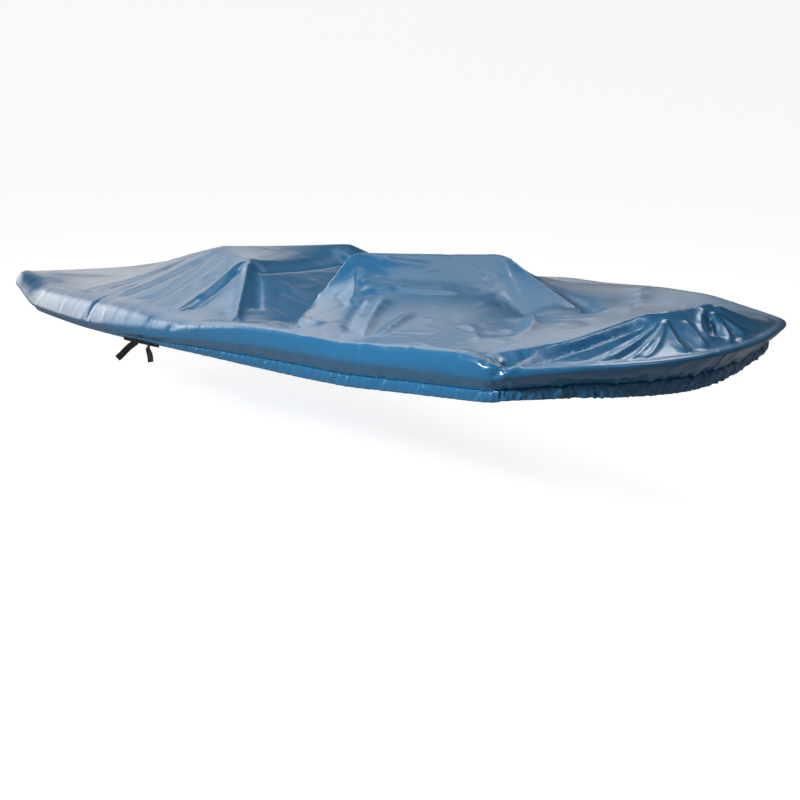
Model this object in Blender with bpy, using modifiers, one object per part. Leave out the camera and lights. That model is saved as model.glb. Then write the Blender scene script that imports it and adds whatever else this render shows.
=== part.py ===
"""Fitted cover for a small open boat, hollow, as it hangs over the rail and two seats.

The boat itself is left out. The cloth is one coated sheet: a top carried by the rail, by
two seats and by the nose of the bow, and a skirt that turns over the rail and is drawn in
under it by an elastic hem. A webbing tie is sewn to the hem on the starboard side.

Frame: metres, +X towards the bow, +Y to port, +Z up. The origin lies at the middle of the
boat's rail, under the cover's top.
"""

import math

import bmesh
import bpy
import numpy as np
from mathutils import Vector
from mathutils.geometry import delaunay_2d_cdt

# ---------------------------------------------------------------- driving dimensions
STERN_X = -1.85          # rail's outer edge at the stern
CORNER_X = 1.50          # the bow's two corners
NOSE_X = 1.79            # the bow's nose
BEAM = 1.50              # rail's outer edge at the widest station
WIDEST = 0.45            # share of the side's length, from the stern, at the full beam
STERN_SHARE = 0.83       # beam at the stern, as a share of BEAM
BOW_SHARE = 0.83         # beam at the bow's corners, as a share of BEAM
STERN_ROUND = 0.05       # how far the stern's middle stands behind its corners
CORNER_SOFT = 0.028      # rounding of the plan's corners
CLOTH = 0.0025           # coated cloth, thickness

RAIL_POINTS = 150        # vertices round the crest
HEM_SPLIT = 2            # hem vertices for each rail vertex
PITCH = 0.078            # spacing of the top's own vertices
LOAD = 0.16              # sag of the taut cloth: its weight over its tension, per metre
RUFFLE = 0.070           # pitch of the gathers in the hem

TIE_THICK = 0.002        # webbing

# Stations round the rail, the same on both sides but for port. run is the distance along
# the rail from the stern's middle; rail the height of the outer edge; wall the height of
# the steep band above it; crest and inset place the top of the roll above and inboard of
# the outer edge, port being what the port side adds to both; drop and tuck place the hem
# below and inboard of the outer edge; ruffle is the depth of the gathers.
STATIONS = [
    # run,  rail,   wall,  crest, port,   inset, drop,  tuck,  ruffle
    (0.00, -0.168, 0.008, 0.008,  0.000, 0.070, 0.080, 0.060, 0.004),
    (0.45, -0.155, 0.016, 0.042, -0.032, 0.060, 0.085, 0.070, 0.004),
    (0.66, -0.150, 0.022, 0.062, -0.044, 0.050, 0.085, 0.070, 0.003),
    (0.86, -0.198, 0.018, 0.084, -0.060, 0.090, 0.020, 0.020, 0.001),
    (1.40, -0.152, 0.018, 0.100, -0.060, 0.105, 0.024, 0.020, 0.001),
    (1.75, -0.116, 0.026, 0.100, -0.040, 0.100, 0.026, 0.020, 0.001),
    (2.05, -0.078, 0.036, 0.080, -0.015, 0.085, 0.036, 0.024, 0.001),
    (2.35, -0.028,  0.046,  0.060, -0.010,  0.060,  0.064,  0.040,  0.005),
    (2.65,  0.016,  0.062,  0.068, -0.015,  0.045,  0.088,  0.050,  0.008),
    (2.90,  0.046,  0.062,  0.066, -0.020,  0.040,  0.102,  0.055,  0.008),
    (3.20,  0.068,  0.056,  0.060,  0.008,  0.040,  0.100,  0.055,  0.008),
    (3.50,  0.104,  0.066,  0.070, -0.002,  0.040,  0.096,  0.055,  0.008),
    (3.84,  0.138,  0.072,  0.076, -0.040,  0.036,  0.090,  0.058,  0.007),
    (3.96,  0.150,  0.020,  0.030, -0.012,  0.040,  0.084,  0.062,  0.007),
    (4.20,  0.176,  0.012,  0.018, -0.006,  0.035,  0.104,  0.080,  0.008),
    (4.60,  0.180,  0.012,  0.018,  0.000,  0.035,  0.120,  0.082,  0.008),
]

# Rings from the crest to the hem, as shares of the sizes above; fine rings carry the
# gathers and have twice the vertices.
RINGS = [
    # inset, wall, roll, tuck, drop, fine
    (1.00,  1.0,  1.00, 0.00, 0.00, 0),
    (0.50,  1.0,  0.75, 0.00, 0.00, 0),
    (0.14,  1.0,  0.00, 0.00, 0.00, 0),
    (0.00,  0.5,  0.00, 0.00, 0.00, 0),
    (0.00,  0.0,  0.00, 0.00, 0.00, 0),
    (0.00,  0.0,  0.00, 0.50, 0.32, 0),
    (0.00,  0.0,  0.00, 0.92, 0.58, 1),
    (0.00,  0.0,  0.00, 0.97, 0.80, 1),
    (0.00,  0.0,  0.00, 1.00, 1.00, 1),
]

# Ridges and valleys the cloth is stretched over: straight lines from one end to the other,
# sagging by sag in the middle (negative heights lie under the rail's plane amidships).
RIDGES = [
    # name,               x0,    y0,    z0,     x1,    y1,    z1,   sag
    ("aft seat, top",    -0.74, -0.22, 0.140, -0.50,  0.22, 0.138, 0.004),
    ("aft seat, side",   -0.74, -0.22, 0.140, -0.45, -0.27, 0.145, 0.006),
    ("aft seat, front",  -0.45, -0.27, 0.145, -0.50,  0.22, 0.138, 0.030),
    ("aft seat, fold",   -0.45, -0.27, 0.145, -0.03, -0.58, 0.010, 0.010),
    ("aft seat, aft",    -0.74, -0.22, 0.140, -1.33, -0.385, -0.080, -0.010),
    ("aft seat, far",    -0.50,  0.22, 0.138, -0.52,  0.58, -0.010, 0.015),
    ("mid seat, top",     0.17, -0.22, 0.270,  0.47,  0.22, 0.260, 0.003),
    ("mid seat, edge",    0.17, -0.22, 0.270,  0.13, -0.43, 0.030, 0.004),
    ("mid seat, crease",  0.47,  0.22, 0.260,  0.84,  0.05, 0.085, 0.010),
    ("mid seat, bow",     0.47,  0.22, 0.260,  0.93,  0.24, 0.115, 0.000),
    ("mid seat, far",     0.47,  0.22, 0.260,  0.38,  0.50, 0.060, 0.030),
    ("mid seat, aft",     0.17, -0.22, 0.270, -0.02,  0.02, 0.010, 0.012),
    ("well",             -0.02,  0.02, 0.010,  0.07, -0.45, -0.020, 0.002),
    ("well, far",        -0.02,  0.02, 0.010,  0.05,  0.56, 0.020, 0.010),
    ("rowlock",           0.80,  0.60, 0.150,  0.98,  0.40, 0.125, 0.000),
    ("deck edge, side",    1.400, -0.570, 0.192,  1.499, -0.328, 0.219, 0.000),
    ("deck edge, middle",  1.499, -0.328, 0.219,  1.533, -0.064, 0.271, 0.000),
    ("deck edge, nose",    1.533, -0.064, 0.271,  1.553, 0.036, 0.283, 0.000),
    ("deck edge, port",    1.553, 0.036, 0.283,  1.535, 0.226, 0.281, 0.006),
    ("deck edge, far",     1.535, 0.226, 0.281,  1.460, 0.470, 0.185, 0.000),
    ("bow fold, low",     1.50, -0.575, 0.156, 1.52, -0.365, 0.192, 0.000),
    ("bow fold, high",    1.52, -0.365, 0.192, 1.52, -0.03, 0.245, 0.004),
    ("bow ridge, low",    1.57, -0.50, 0.176,  1.60, -0.32, 0.205, 0.000),
    ("bow ridge, high",   1.60, -0.32, 0.205,  1.53,  0.03, 0.257, 0.004),
]

# The main folds laid on the stretched cloth: each a line in plan with the height of the
# fold (+) or the depth of the trough (-) and its half width.
FOLDS = [
    # name,                   x0,    y0,    x1,    y1,   height, width
    ("stern, low",           -1.64, -0.60, -1.30, -0.60,  0.010, 0.040),
    ("aft seat, first",      -0.80, -0.30, -1.20, -0.50,  0.016, 0.055),
    ("aft seat, trough",     -0.74, -0.38, -0.80, -0.64, -0.012, 0.035),
    ("aft seat, second",     -0.63, -0.40, -0.63, -0.64,  0.016, 0.035),
    ("aft seat, hollow",     -0.56, -0.44, -0.50, -0.64, -0.012, 0.030),
    ("aft seat, third",      -0.46, -0.32, -0.40, -0.62,  0.014, 0.032),
    ("well, rail pinch",     -0.26, -0.60,  0.02, -0.62,  0.010, 0.035),
    ("well, slack",          -0.30, -0.22, -0.10, -0.30, -0.008, 0.040),
    ("mid seat, swag",        0.36, -0.31,  0.64, -0.10,  0.012, 0.035),
    ("mid seat, under swag",  0.44, -0.36,  0.72, -0.14, -0.010, 0.035),
    ("mid seat, streak",      0.46, -0.28,  0.80, -0.60,  0.014, 0.035),
    ("mid seat, second",      0.66, -0.30,  0.90, -0.58,  0.012, 0.035),
    ("fore, long crease",     0.86,  0.02,  1.26, -0.28,  0.014, 0.045),
    ("fore, trough",          0.92, -0.12,  1.24, -0.42, -0.010, 0.045),
    ("fore, wrinkle",         0.92, -0.28,  1.22, -0.48,  0.010, 0.035),
    ("far deck",              0.90,  0.45,  1.16,  0.24,  0.012, 0.045),
    ("bow face, first",       1.65, -0.40,  1.56, -0.04,  0.014, 0.030),
    ("bow face, second",      1.70, -0.28,  1.57,  0.02,  0.012, 0.028),
    ("bow face, third",       1.71, -0.09,  1.55,  0.06,  0.014, 0.028),
    ("bow face, valley",      1.74,  0.06,  1.58,  0.05, -0.016, 0.028),
    ("bow face, fourth",      1.74,  0.13,  1.55,  0.25,  0.014, 0.028),
    ("bow face, dimple",      1.66,  0.17,  1.56,  0.17, -0.012, 0.028),
    ("bow face, fifth",       1.73,  0.26,  1.55,  0.29,  0.012, 0.026),
    ("bow face, far",         1.60,  0.42,  1.51,  0.33,  0.010, 0.028),
]
FLANK = 1.25             # a fold's foot lies this many half widths from its crest


# The webbing tie, section by section: run places it along the starboard rail, out and down
# from the hem's bottom edge; its face looks outboard, turned by face towards the bow and
# by tip towards the ground.
TIE = [
    # piece,           run,   out,    down,   width, face, tip
    ("tie_band",      1.790, 0.0004,  0.001, 0.014,  0, 12),
    ("tie_band",      1.845, 0.0005,  0.001, 0.015,  0, 12),
    ("tie_band",      1.900, 0.0006,  0.000, 0.016,  0, 12),
    ("tie_band",      1.955, 0.0006,  0.000, 0.016,  0, 12),
    ("tie_band",      2.010, 0.0005,  0.001, 0.015,  0, 12),
    ("tie_band",      2.065, 0.0004,  0.001, 0.014,  0, 12),
    ("tie_tail_aft",  1.905, 0.0034,  0.002, 0.020, 10, 14),
    ("tie_tail_aft",  1.885, 0.0190,  0.016, 0.025, 30, 10),
    ("tie_tail_aft",  1.865, 0.0300,  0.034, 0.025, 45, 0),
    ("tie_tail_aft",  1.847, 0.0390,  0.052, 0.025, 50, 0),
    ("tie_tail_aft",  1.832, 0.0510,  0.068, 0.025, 55, 0),
    ("tie_tail_fore", 1.995, 0.0033,  0.002, 0.016, 10, 14),
    ("tie_tail_fore", 2.010, 0.0150,  0.020, 0.018, 10, 10),
    ("tie_tail_fore", 2.022, 0.0150,  0.040, 0.020,  0, 0),
    ("tie_tail_fore", 2.030, 0.0170,  0.064, 0.022, -5, 0),
]


# ---------------------------------------------------------------- the rail's plan
def half_beam(share):
    """Half the beam at a share of the side's length, from the stern's corner."""
    aft = share < WIDEST
    end = np.where(aft, STERN_SHARE, BOW_SHARE)
    reach = np.where(aft, (WIDEST - share) / WIDEST, (share - WIDEST) / (1 - WIDEST))
    return (end + (1 - end) * (1 - reach ** 2)) * BEAM / 2


def rail_plan(count):
    """The rail's outer edge as count points, from the stern's middle by starboard.

    Gives the points, the inward normals and each point's run from the stern's middle.
    """
    share = np.linspace(0, 1, 800)
    stern_y = -half_beam(np.array(0.0)) * np.linspace(0, 1, 200)
    bow_y = -half_beam(np.array(1.0)) * np.linspace(1, 0, 200)
    stern = np.c_[STERN_X + STERN_ROUND * (stern_y / stern_y[-1]) ** 2, stern_y]
    start = STERN_X + STERN_ROUND
    side = np.c_[start + (CORNER_X - start) * share, -half_beam(share)]
    bow = np.c_[CORNER_X + (NOSE_X - CORNER_X) * (1 - (bow_y / bow_y[0]) ** 2), bow_y]
    half = np.vstack([stern[:-1], side[:-1], bow])
    loop = resample(np.vstack([half, (half * [1, -1])[::-1][1:]]), 3000)
    loop = np.c_[blur(loop[:, 0], CORNER_SOFT, length(loop)),
                 blur(loop[:, 1], CORNER_SOFT, length(loop))]
    total = length(loop)
    loop = resample(np.vstack([loop, loop[:1]]), count)
    along = np.roll(loop, -1, 0) - np.roll(loop, 1, 0)
    along /= np.linalg.norm(along, axis=1)[:, None]
    run = np.arange(count) * total / count
    return loop, np.c_[-along[:, 1], along[:, 0]], np.minimum(run, total - run)


def length(loop):
    return np.linalg.norm(np.roll(loop, -1, 0) - loop, axis=1).sum()


def resample(line, count):
    """A closed line, given with its first point again at the end, as count even points."""
    run = np.r_[0, np.cumsum(np.linalg.norm(np.diff(line, axis=0), axis=1))]
    at = np.linspace(0, run[-1], count, endpoint=False)
    return np.c_[np.interp(at, run, line[:, 0]), np.interp(at, run, line[:, 1])]


def blur(values, reach, total):
    """Gaussian blur of values spaced evenly round a closed loop."""
    turns = np.fft.fftfreq(len(values), total / len(values))
    return np.fft.ifft(np.fft.fft(values) * np.exp(-0.5 * (2 * np.pi * turns * reach) ** 2)).real


def station(run, column):
    table = np.array(STATIONS)
    return np.interp(run, table[:, 0], table[:, column])


# ---------------------------------------------------------------- the cloth's rings
def gathers(run_all, phase):
    """Uneven gathers along the hem, -1..1."""
    turn = 2 * np.pi * run_all / RUFFLE
    return 0.7 * np.sin(turn + 0.9 * np.sin(turn * 0.13 + phase)) + 0.3 * np.sin(turn * 0.61 + phase)


def ring_points(ring):
    inset_part, wall_part, roll_part, tuck_part, drop_part, fine = RINGS[ring]
    count = RAIL_POINTS * (HEM_SPLIT if fine else 1)
    plan, inward, run = rail_plan(count)
    total = length(plan)
    smooth = [blur(station(run, column), 0.04, total) for column in range(1, 9)]
    rail, wall, crest, port, inset, drop, tuck, ruffle = smooth
    port = port * np.clip(plan[:, 1] / 0.3, 0, 1)
    crest, wall = crest + port, np.maximum(wall + port, 0.008)
    inward_by = inset_part * inset + tuck_part * tuck
    z = rail + wall_part * wall + roll_part * (crest - wall) - drop_part * drop
    if fine:
        step = np.arange(count) * total / count
        inward_by = inward_by - ruffle * gathers(step, ring) * (drop_part - 0.45) / 0.55
    return np.c_[plan + inward * inward_by[:, None], z]


# ---------------------------------------------------------------- the cloth's top
def ridge_points():
    """Points along every ridge, with their heights, and the pairs that join them."""
    points, pairs = [], []

    def place(point):
        for index, other in enumerate(points):
            if np.linalg.norm(np.array(other[:2]) - point[:2]) < 0.02:
                return index
        points.append(tuple(point))
        return len(points) - 1

    for _, x0, y0, z0, x1, y1, z1, sag in RIDGES:
        steps = max(2, round(math.hypot(x1 - x0, y1 - y0) / (PITCH * 0.85)))
        ids = []
        for step in range(steps + 1):
            part = step / steps
            z = z0 + (z1 - z0) * part - 4 * sag * part * (1 - part)
            ids.append(place((x0 + (x1 - x0) * part, y0 + (y1 - y0) * part, z)))
        pairs += [pair for pair in zip(ids, ids[1:]) if pair[0] != pair[1]]
    return np.array(points), pairs


def inside(points, loop):
    """Which points lie inside a closed plan loop."""
    x, y = points[:, 0][:, None], points[:, 1][:, None]
    x0, y0 = loop[:, 0], loop[:, 1]
    x1, y1 = np.roll(x0, -1), np.roll(y0, -1)
    cross = (y0 > y) != (y1 > y)
    with np.errstate(divide="ignore", invalid="ignore"):
        at = x0 + (y - y0) * (x1 - x0) / (y1 - y0)
    return (cross & (x < at)).sum(1) % 2 == 1


def fold_points():
    """Points along the crest and both feet of every fold."""
    points = []
    for _, x0, y0, x1, y1, _, width in FOLDS:
        long = math.hypot(x1 - x0, y1 - y0)
        across = np.array([y0 - y1, x1 - x0]) / long * width * FLANK
        steps = max(2, round(long / (PITCH * 0.8)))
        for part in np.linspace(0, 1, steps + 1):
            crest = np.array([x0 + (x1 - x0) * part, y0 + (y1 - y0) * part])
            points += [crest, crest + across, crest - across]
    return np.array(points)


def clear_of(points, taken, gap):
    """The points that lie further than gap from the taken ones."""
    near = np.linalg.norm(points[:, None] - taken[None], axis=2).min(1)
    return points[near > gap]


def field_points(loop, ridge):
    """The folds' points and even points between them, clear of the crest and ridges."""
    fixed = np.vstack([loop, ridge])
    folds = fold_points()
    folds = clear_of(folds[inside(folds, loop)], fixed, 0.028)
    kept = []
    for point in folds:
        if all(np.linalg.norm(point - other) > 0.028 for other in kept):
            kept.append(point)
    rows = np.arange(-0.8, 0.8, PITCH * 0.866)
    grid = [(x + (PITCH / 2 if row % 2 else 0), y)
            for row, y in enumerate(rows) for x in np.arange(-1.9, 1.9, PITCH)]
    grid = np.array(grid)
    grid = clear_of(grid[inside(grid, loop)], np.vstack([fixed, kept]), PITCH * 0.62)
    return np.vstack([kept, grid])


def stretch(plan, triangles, fixed):
    """Heights of a taut cloth that is held at the fixed vertices and sags a little."""
    count = len(plan)
    weight = np.zeros((count, count))
    share = np.zeros(count)
    for tri in triangles:
        u, v = plan[tri[1]] - plan[tri[0]], plan[tri[2]] - plan[tri[0]]
        share[list(tri)] += abs(u[0] * v[1] - u[1] * v[0]) / 6
        for k in range(3):
            a, b, o = tri[k], tri[(k + 1) % 3], tri[(k + 2) % 3]
            u, v = plan[a] - plan[o], plan[b] - plan[o]
            cot = np.dot(u, v) / max(abs(u[0] * v[1] - u[1] * v[0]), 1e-9)
            weight[a, b] += max(cot, 0.05) / 2
            weight[b, a] += max(cot, 0.05) / 2
    matrix = np.diag(weight.sum(1)) - weight
    right = -LOAD * share
    for index, height in fixed.items():
        matrix[index] = 0
        matrix[index, index] = 1
        right[index] = height
    return np.linalg.solve(matrix, right)


def fold_relief(plan):
    """Height the soft folds add at each point of the plan."""
    relief = np.zeros(len(plan))
    for _, x0, y0, x1, y1, height, width in FOLDS:
        line = np.array([x1 - x0, y1 - y0])
        part = np.clip(((plan - [x0, y0]) @ line) / (line @ line), 0, 1)
        away = np.linalg.norm(plan - ([x0, y0] + part[:, None] * line), axis=1)
        relief += height * np.exp(-(away / width) ** 2) * np.sin(np.pi * np.clip(part, 0.04, 0.96))
    return relief


def top_surface(crest):
    """Vertices and triangles of the top, its first vertices being the crest's."""
    ridge, pairs = ridge_points()
    field = field_points(crest[:, :2], ridge[:, :2])
    plan = np.vstack([crest[:, :2], ridge[:, :2], field])
    count = len(crest)
    loop = [(i, (i + 1) % count) for i in range(count)]
    edges = loop + [(a + count, b + count) for a, b in pairs]
    found = delaunay_2d_cdt([Vector(p) for p in plan], edges, [], 0, 1e-6)
    plan_out = np.array([tuple(p) for p in found[0]])
    middle = np.array([plan_out[list(face)].mean(0) for face in found[2]])
    keep = inside(middle, crest[:, :2])
    triangles = [tuple(face) for face, kept in zip(found[2], keep) if kept]
    origin = found[3]
    fixed = {}
    for index, sources in enumerate(origin):
        for source in sources:
            if source < count:
                fixed[index] = crest[source, 2]
            elif source < count + len(ridge):
                fixed.setdefault(index, ridge[source - count, 2])
    z = stretch(plan_out, triangles, fixed)
    lift = fold_relief(plan_out)
    z = z + np.array([0 if index in fixed else lift[index] for index in range(len(z))])
    where = {source: index for index, sources in enumerate(origin) for source in sources}
    return np.c_[plan_out, z], triangles, [where[i] for i in range(count)]


# ---------------------------------------------------------------- building
def cloth_mesh():
    crest = ring_points(0)
    points, faces, last = top_surface(crest)
    points = [tuple(p) for p in points]
    for ring in range(1, len(RINGS)):
        new = ring_points(ring)
        ids = list(range(len(points), len(points) + len(new)))
        points += [tuple(p) for p in new]
        n, m = len(last), len(ids)
        if n == m:
            for i in range(n):
                j = (i + 1) % n
                faces += [(last[i], ids[i], ids[j]), (last[i], ids[j], last[j])]
        else:
            for i in range(n):
                j = (i + 1) % n
                mid = ids[2 * i + 1]
                faces += [(last[i], ids[2 * i], mid), (last[i], mid, last[j]),
                          (last[j], mid, ids[(2 * i + 2) % m])]
        last = ids
    return points, faces


def new_object(name, points, faces, collection, material):
    mesh = bpy.data.meshes.new(name)
    mesh.from_pydata(points, [], faces)
    mesh.validate()
    form = bmesh.new()
    form.from_mesh(mesh)
    bmesh.ops.recalc_face_normals(form, faces=form.faces)
    if sum(face.normal.z for face in form.faces) < -1:
        bmesh.ops.reverse_faces(form, faces=form.faces)
    form.to_mesh(mesh)
    form.free()
    mesh.materials.append(material)
    item = bpy.data.objects.new(name, mesh)
    collection.objects.link(item)
    return item


def smooth_rows(rows, steps):
    """Table rows with steps - 1 rows eased in between each pair."""
    rows = np.array(rows, float)
    slope = np.gradient(rows, axis=0)
    out = []
    for k in range(len(rows) - 1):
        for step in range(steps):
            t = step / steps
            out.append(rows[k] * (1 + 2 * t) * (1 - t) ** 2 + slope[k] * t * (1 - t) ** 2
                       + rows[k + 1] * t * t * (3 - 2 * t) + slope[k + 1] * t * t * (t - 1))
    return np.array(out + [rows[-1]])


def strap_mesh(piece):
    """Points and faces of one flat strap of webbing, closed."""
    rows = smooth_rows([row[1:] for row in TIE if row[0] == piece], 4)
    hem = ring_points(len(RINGS) - 1)
    half = len(hem) // 2
    _, inward, run = rail_plan(len(hem))
    up = np.array([0, 0, 1.0])
    place = np.array([[np.interp(at, run[:half], hem[:half, k]) for k in range(3)]
                      for at in rows[:, 0]])
    side = -np.array([[np.interp(at, run[:half], inward[:half, k]) for k in range(2)] + [0]
                      for at in rows[:, 0]])
    middle = place + side * rows[:, 1:2] - up * rows[:, 2:3]
    path = np.gradient(middle, axis=0)
    points = []
    for k, (_, _, _, width, turn, tip) in enumerate(rows):
        turn, tip = math.radians(turn), math.radians(tip)
        fore = np.cross(up, side[k])
        look = (side[k] * math.cos(turn) + fore * math.sin(turn)) * math.cos(tip)
        look = look - up * math.sin(tip)
        wide = np.cross(path[k], look)
        wide /= np.linalg.norm(wide)
        face = np.cross(wide, path[k]) / np.linalg.norm(path[k])
        for across, thick in ((-1, 0), (1, 0), (1, 1), (-1, 1)):
            points.append(middle[k] + wide * across * width / 2 + face * thick * TIE_THICK)
    faces = [(0, 1, 2, 3)]
    for k in range(len(rows) - 1):
        for c in range(4):
            d = (c + 1) % 4
            faces.append((4 * k + c, 4 * k + 4 + c, 4 * k + 4 + d, 4 * k + d))
    last = 4 * (len(rows) - 1)
    faces.append((last + 3, last + 2, last + 1, last))
    return [tuple(point) for point in points], faces


def plain_material(name, colour, roughness):
    """One Principled material from an sRGB hex colour."""
    material = bpy.data.materials.new(name)
    material.use_nodes = True
    shader = material.node_tree.nodes["Principled BSDF"]
    parts = [int(colour[k:k + 2], 16) / 255 for k in (0, 2, 4)]
    linear = [v / 12.92 if v <= 0.04045 else ((v + 0.055) / 1.055) ** 2.4 for v in parts]
    shader.inputs["Base Color"].default_value = (*linear, 1)
    shader.inputs["Roughness"].default_value = roughness
    return material


def thicken(item, thickness, offset):
    """Give an open sheet its thickness as one closed body."""
    shell = item.modifiers.new("cloth", "SOLIDIFY")
    shell.thickness = thickness
    shell.offset = offset
    shell.use_even_offset = True
    shell.use_rim = True
    shell.use_quality_normals = True
    return shell


def main():
    for item in list(bpy.data.objects):
        bpy.data.objects.remove(item, do_unlink=True)
    scene = bpy.context.scene
    collection = bpy.data.collections.new("boat_cover")
    scene.collection.children.link(collection)
    coated = plain_material("coated_polyester", "2F6FA5", 0.3)
    webbing = plain_material("black_webbing", "17181A", 0.8)
    points, faces = cloth_mesh()
    cover = new_object("cover", points, faces, collection, coated)
    thicken(cover, CLOTH, -1.0)
    print("cover", len(points), "vertices", len(faces), "faces")
    for piece in ("tie_band", "tie_tail_aft", "tie_tail_fore"):
        new_object(piece, *strap_mesh(piece), collection, webbing)


main()
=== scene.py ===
# %% [markdown]
# # A fitted cover for a small open boat
# The real thing is one large piece of coated polyester, cut to a boat's plan. A hem with an
# elastic in it draws the edge in under the rail, and webbing ties are sewn to the hem. The
# boat is not modelled: the cloth keeps the shape that the rail, two seats and the bow give it.
#
# The cloth could be dropped on a model of the boat by a cloth simulation. Its folds would then
# fall by chance. Here the shape is worked out as a taut sheet over named ridges, and each main
# fold is a row of a table, so that every one can be found and moved.

# %% Load the frame
import math

import bpy
import numpy as np
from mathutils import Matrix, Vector
from mathutils.geometry import delaunay_2d_cdt


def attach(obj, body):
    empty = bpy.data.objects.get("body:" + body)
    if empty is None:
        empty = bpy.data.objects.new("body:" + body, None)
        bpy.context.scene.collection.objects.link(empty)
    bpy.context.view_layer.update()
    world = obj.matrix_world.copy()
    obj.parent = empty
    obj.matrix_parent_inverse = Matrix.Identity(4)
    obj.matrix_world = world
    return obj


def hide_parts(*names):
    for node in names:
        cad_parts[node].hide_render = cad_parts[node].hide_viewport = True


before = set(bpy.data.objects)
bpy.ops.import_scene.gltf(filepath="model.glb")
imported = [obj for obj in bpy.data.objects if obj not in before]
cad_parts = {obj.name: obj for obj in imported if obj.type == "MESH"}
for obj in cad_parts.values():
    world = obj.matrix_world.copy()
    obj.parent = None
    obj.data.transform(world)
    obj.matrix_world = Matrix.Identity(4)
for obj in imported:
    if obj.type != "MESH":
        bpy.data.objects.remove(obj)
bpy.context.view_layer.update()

# %% [markdown]
# ## The rail's plan
# The crest of the cloth, its skirt and its hem are all rings round one plan: a long hull
# outline with a nearly straight stern and a blunt bow. Sizes are in metres, +X is the bow,
# +Y is port and +Z is up.

# %% Driving sizes
STERN_X = -1.85          # outer edge of the rail at the stern
CORNER_X = 1.50          # the bow's two corners
NOSE_X = 1.79            # the bow's nose
BEAM = 1.50              # outer edge of the rail at the widest station
WIDEST = 0.45            # share of the side's length, from the stern, at the full beam
END_SHARE = 0.83         # beam at the stern and at the bow's corners, as a share of BEAM
STERN_ROUND = 0.05       # how far the stern's middle stands behind its corners
CORNER_SOFT = 0.028      # rounding of the plan's corners
CLOTH = 0.0020           # coated cloth with its hem's fold, thickness
LOAD = 0.16              # sag of the taut cloth: its weight over its tension, per metre
STATION_BLEND = 0.04     # run over which one station passes into the next
PORT_FADE = 0.30         # distance to port at which the port column holds in full
LEAST_WALL = 0.008       # steep band that is left where port lowers the crest

# Stations round the rail, the same on both sides but for port. run is the distance along the
# rail from the stern's middle; rail the height of the outer edge; wall the steep band above
# it; crest and inset place the top of the roll; port is what the port side adds to both
# heights; drop and tuck place the hem's edge below and inboard; ruffle is the gathers' depth
# and pitch their spacing.
STATIONS = [
    # run,   rail,  wall, crest,   port, inset,  drop,  tuck, ruffle, pitch
    (0.00, -0.168, 0.008, 0.008,  0.000, 0.070, 0.080, 0.060, 0.0040, 0.040),
    (0.45, -0.155, 0.016, 0.042, -0.032, 0.060, 0.085, 0.070, 0.0040, 0.040),
    (0.66, -0.150, 0.022, 0.062, -0.044, 0.050, 0.085, 0.070, 0.0030, 0.040),
    (0.86, -0.198, 0.018, 0.084, -0.060, 0.090, 0.020, 0.020, 0.0008, 0.050),
    (1.40, -0.152, 0.018, 0.100, -0.060, 0.105, 0.024, 0.020, 0.0008, 0.050),
    (1.75, -0.116, 0.026, 0.100, -0.040, 0.100, 0.026, 0.020, 0.0010, 0.050),
    (2.05, -0.078, 0.036, 0.080, -0.015, 0.085, 0.036, 0.024, 0.0016, 0.048),
    (2.35, -0.028, 0.046, 0.060, -0.010, 0.060, 0.064, 0.040, 0.0040, 0.046),
    (2.65,  0.016, 0.062, 0.068, -0.015, 0.045, 0.088, 0.050, 0.0060, 0.044),
    (2.90,  0.046, 0.062, 0.066, -0.020, 0.040, 0.102, 0.055, 0.0065, 0.042),
    (3.20,  0.068, 0.056, 0.060,  0.008, 0.040, 0.100, 0.055, 0.0065, 0.040),
    (3.50,  0.104, 0.066, 0.070, -0.008, 0.040, 0.096, 0.055, 0.0065, 0.036),
    (3.84,  0.138, 0.072, 0.076, -0.048, 0.036, 0.090, 0.058, 0.0065, 0.030),
    (3.96,  0.150, 0.020, 0.030, -0.012, 0.040, 0.084, 0.062, 0.0060, 0.028),
    (4.20,  0.176, 0.012, 0.018, -0.006, 0.035, 0.104, 0.080, 0.0070, 0.026),
    (4.60,  0.180, 0.012, 0.018,  0.000, 0.035, 0.120, 0.082, 0.0070, 0.024),
]


# %% Functions for closed loops
def loop_length(loop):
    return np.linalg.norm(np.roll(loop, -1, 0) - loop, axis=1).sum()


def resample(line, count):
    """A closed line, given with its first point again at its end, as count even points."""
    run = np.r_[0, np.cumsum(np.linalg.norm(np.diff(line, axis=0), axis=1))]
    at = np.linspace(0, run[-1], count, endpoint=False)
    return np.c_[np.interp(at, run, line[:, 0]), np.interp(at, run, line[:, 1])]


def blur(values, reach, total):
    """Gaussian blur of values spaced evenly round a closed loop."""
    turns = np.fft.fftfreq(len(values), total / len(values))
    kept = np.exp(-0.5 * (2 * np.pi * turns * reach) ** 2)
    return np.fft.ifft(np.fft.fft(values) * kept).real


def half_beam(share):
    """Half the beam at a share of the side's length, from the stern's corner."""
    reach = np.where(share < WIDEST, (WIDEST - share) / WIDEST, (share - WIDEST) / (1 - WIDEST))
    return (END_SHARE + (1 - END_SHARE) * (1 - reach ** 2)) * BEAM / 2


SIDE_STEPS, END_STEPS, EVEN_STEPS = 800, 200, 5200   # points of the outline while it is drawn


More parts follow.
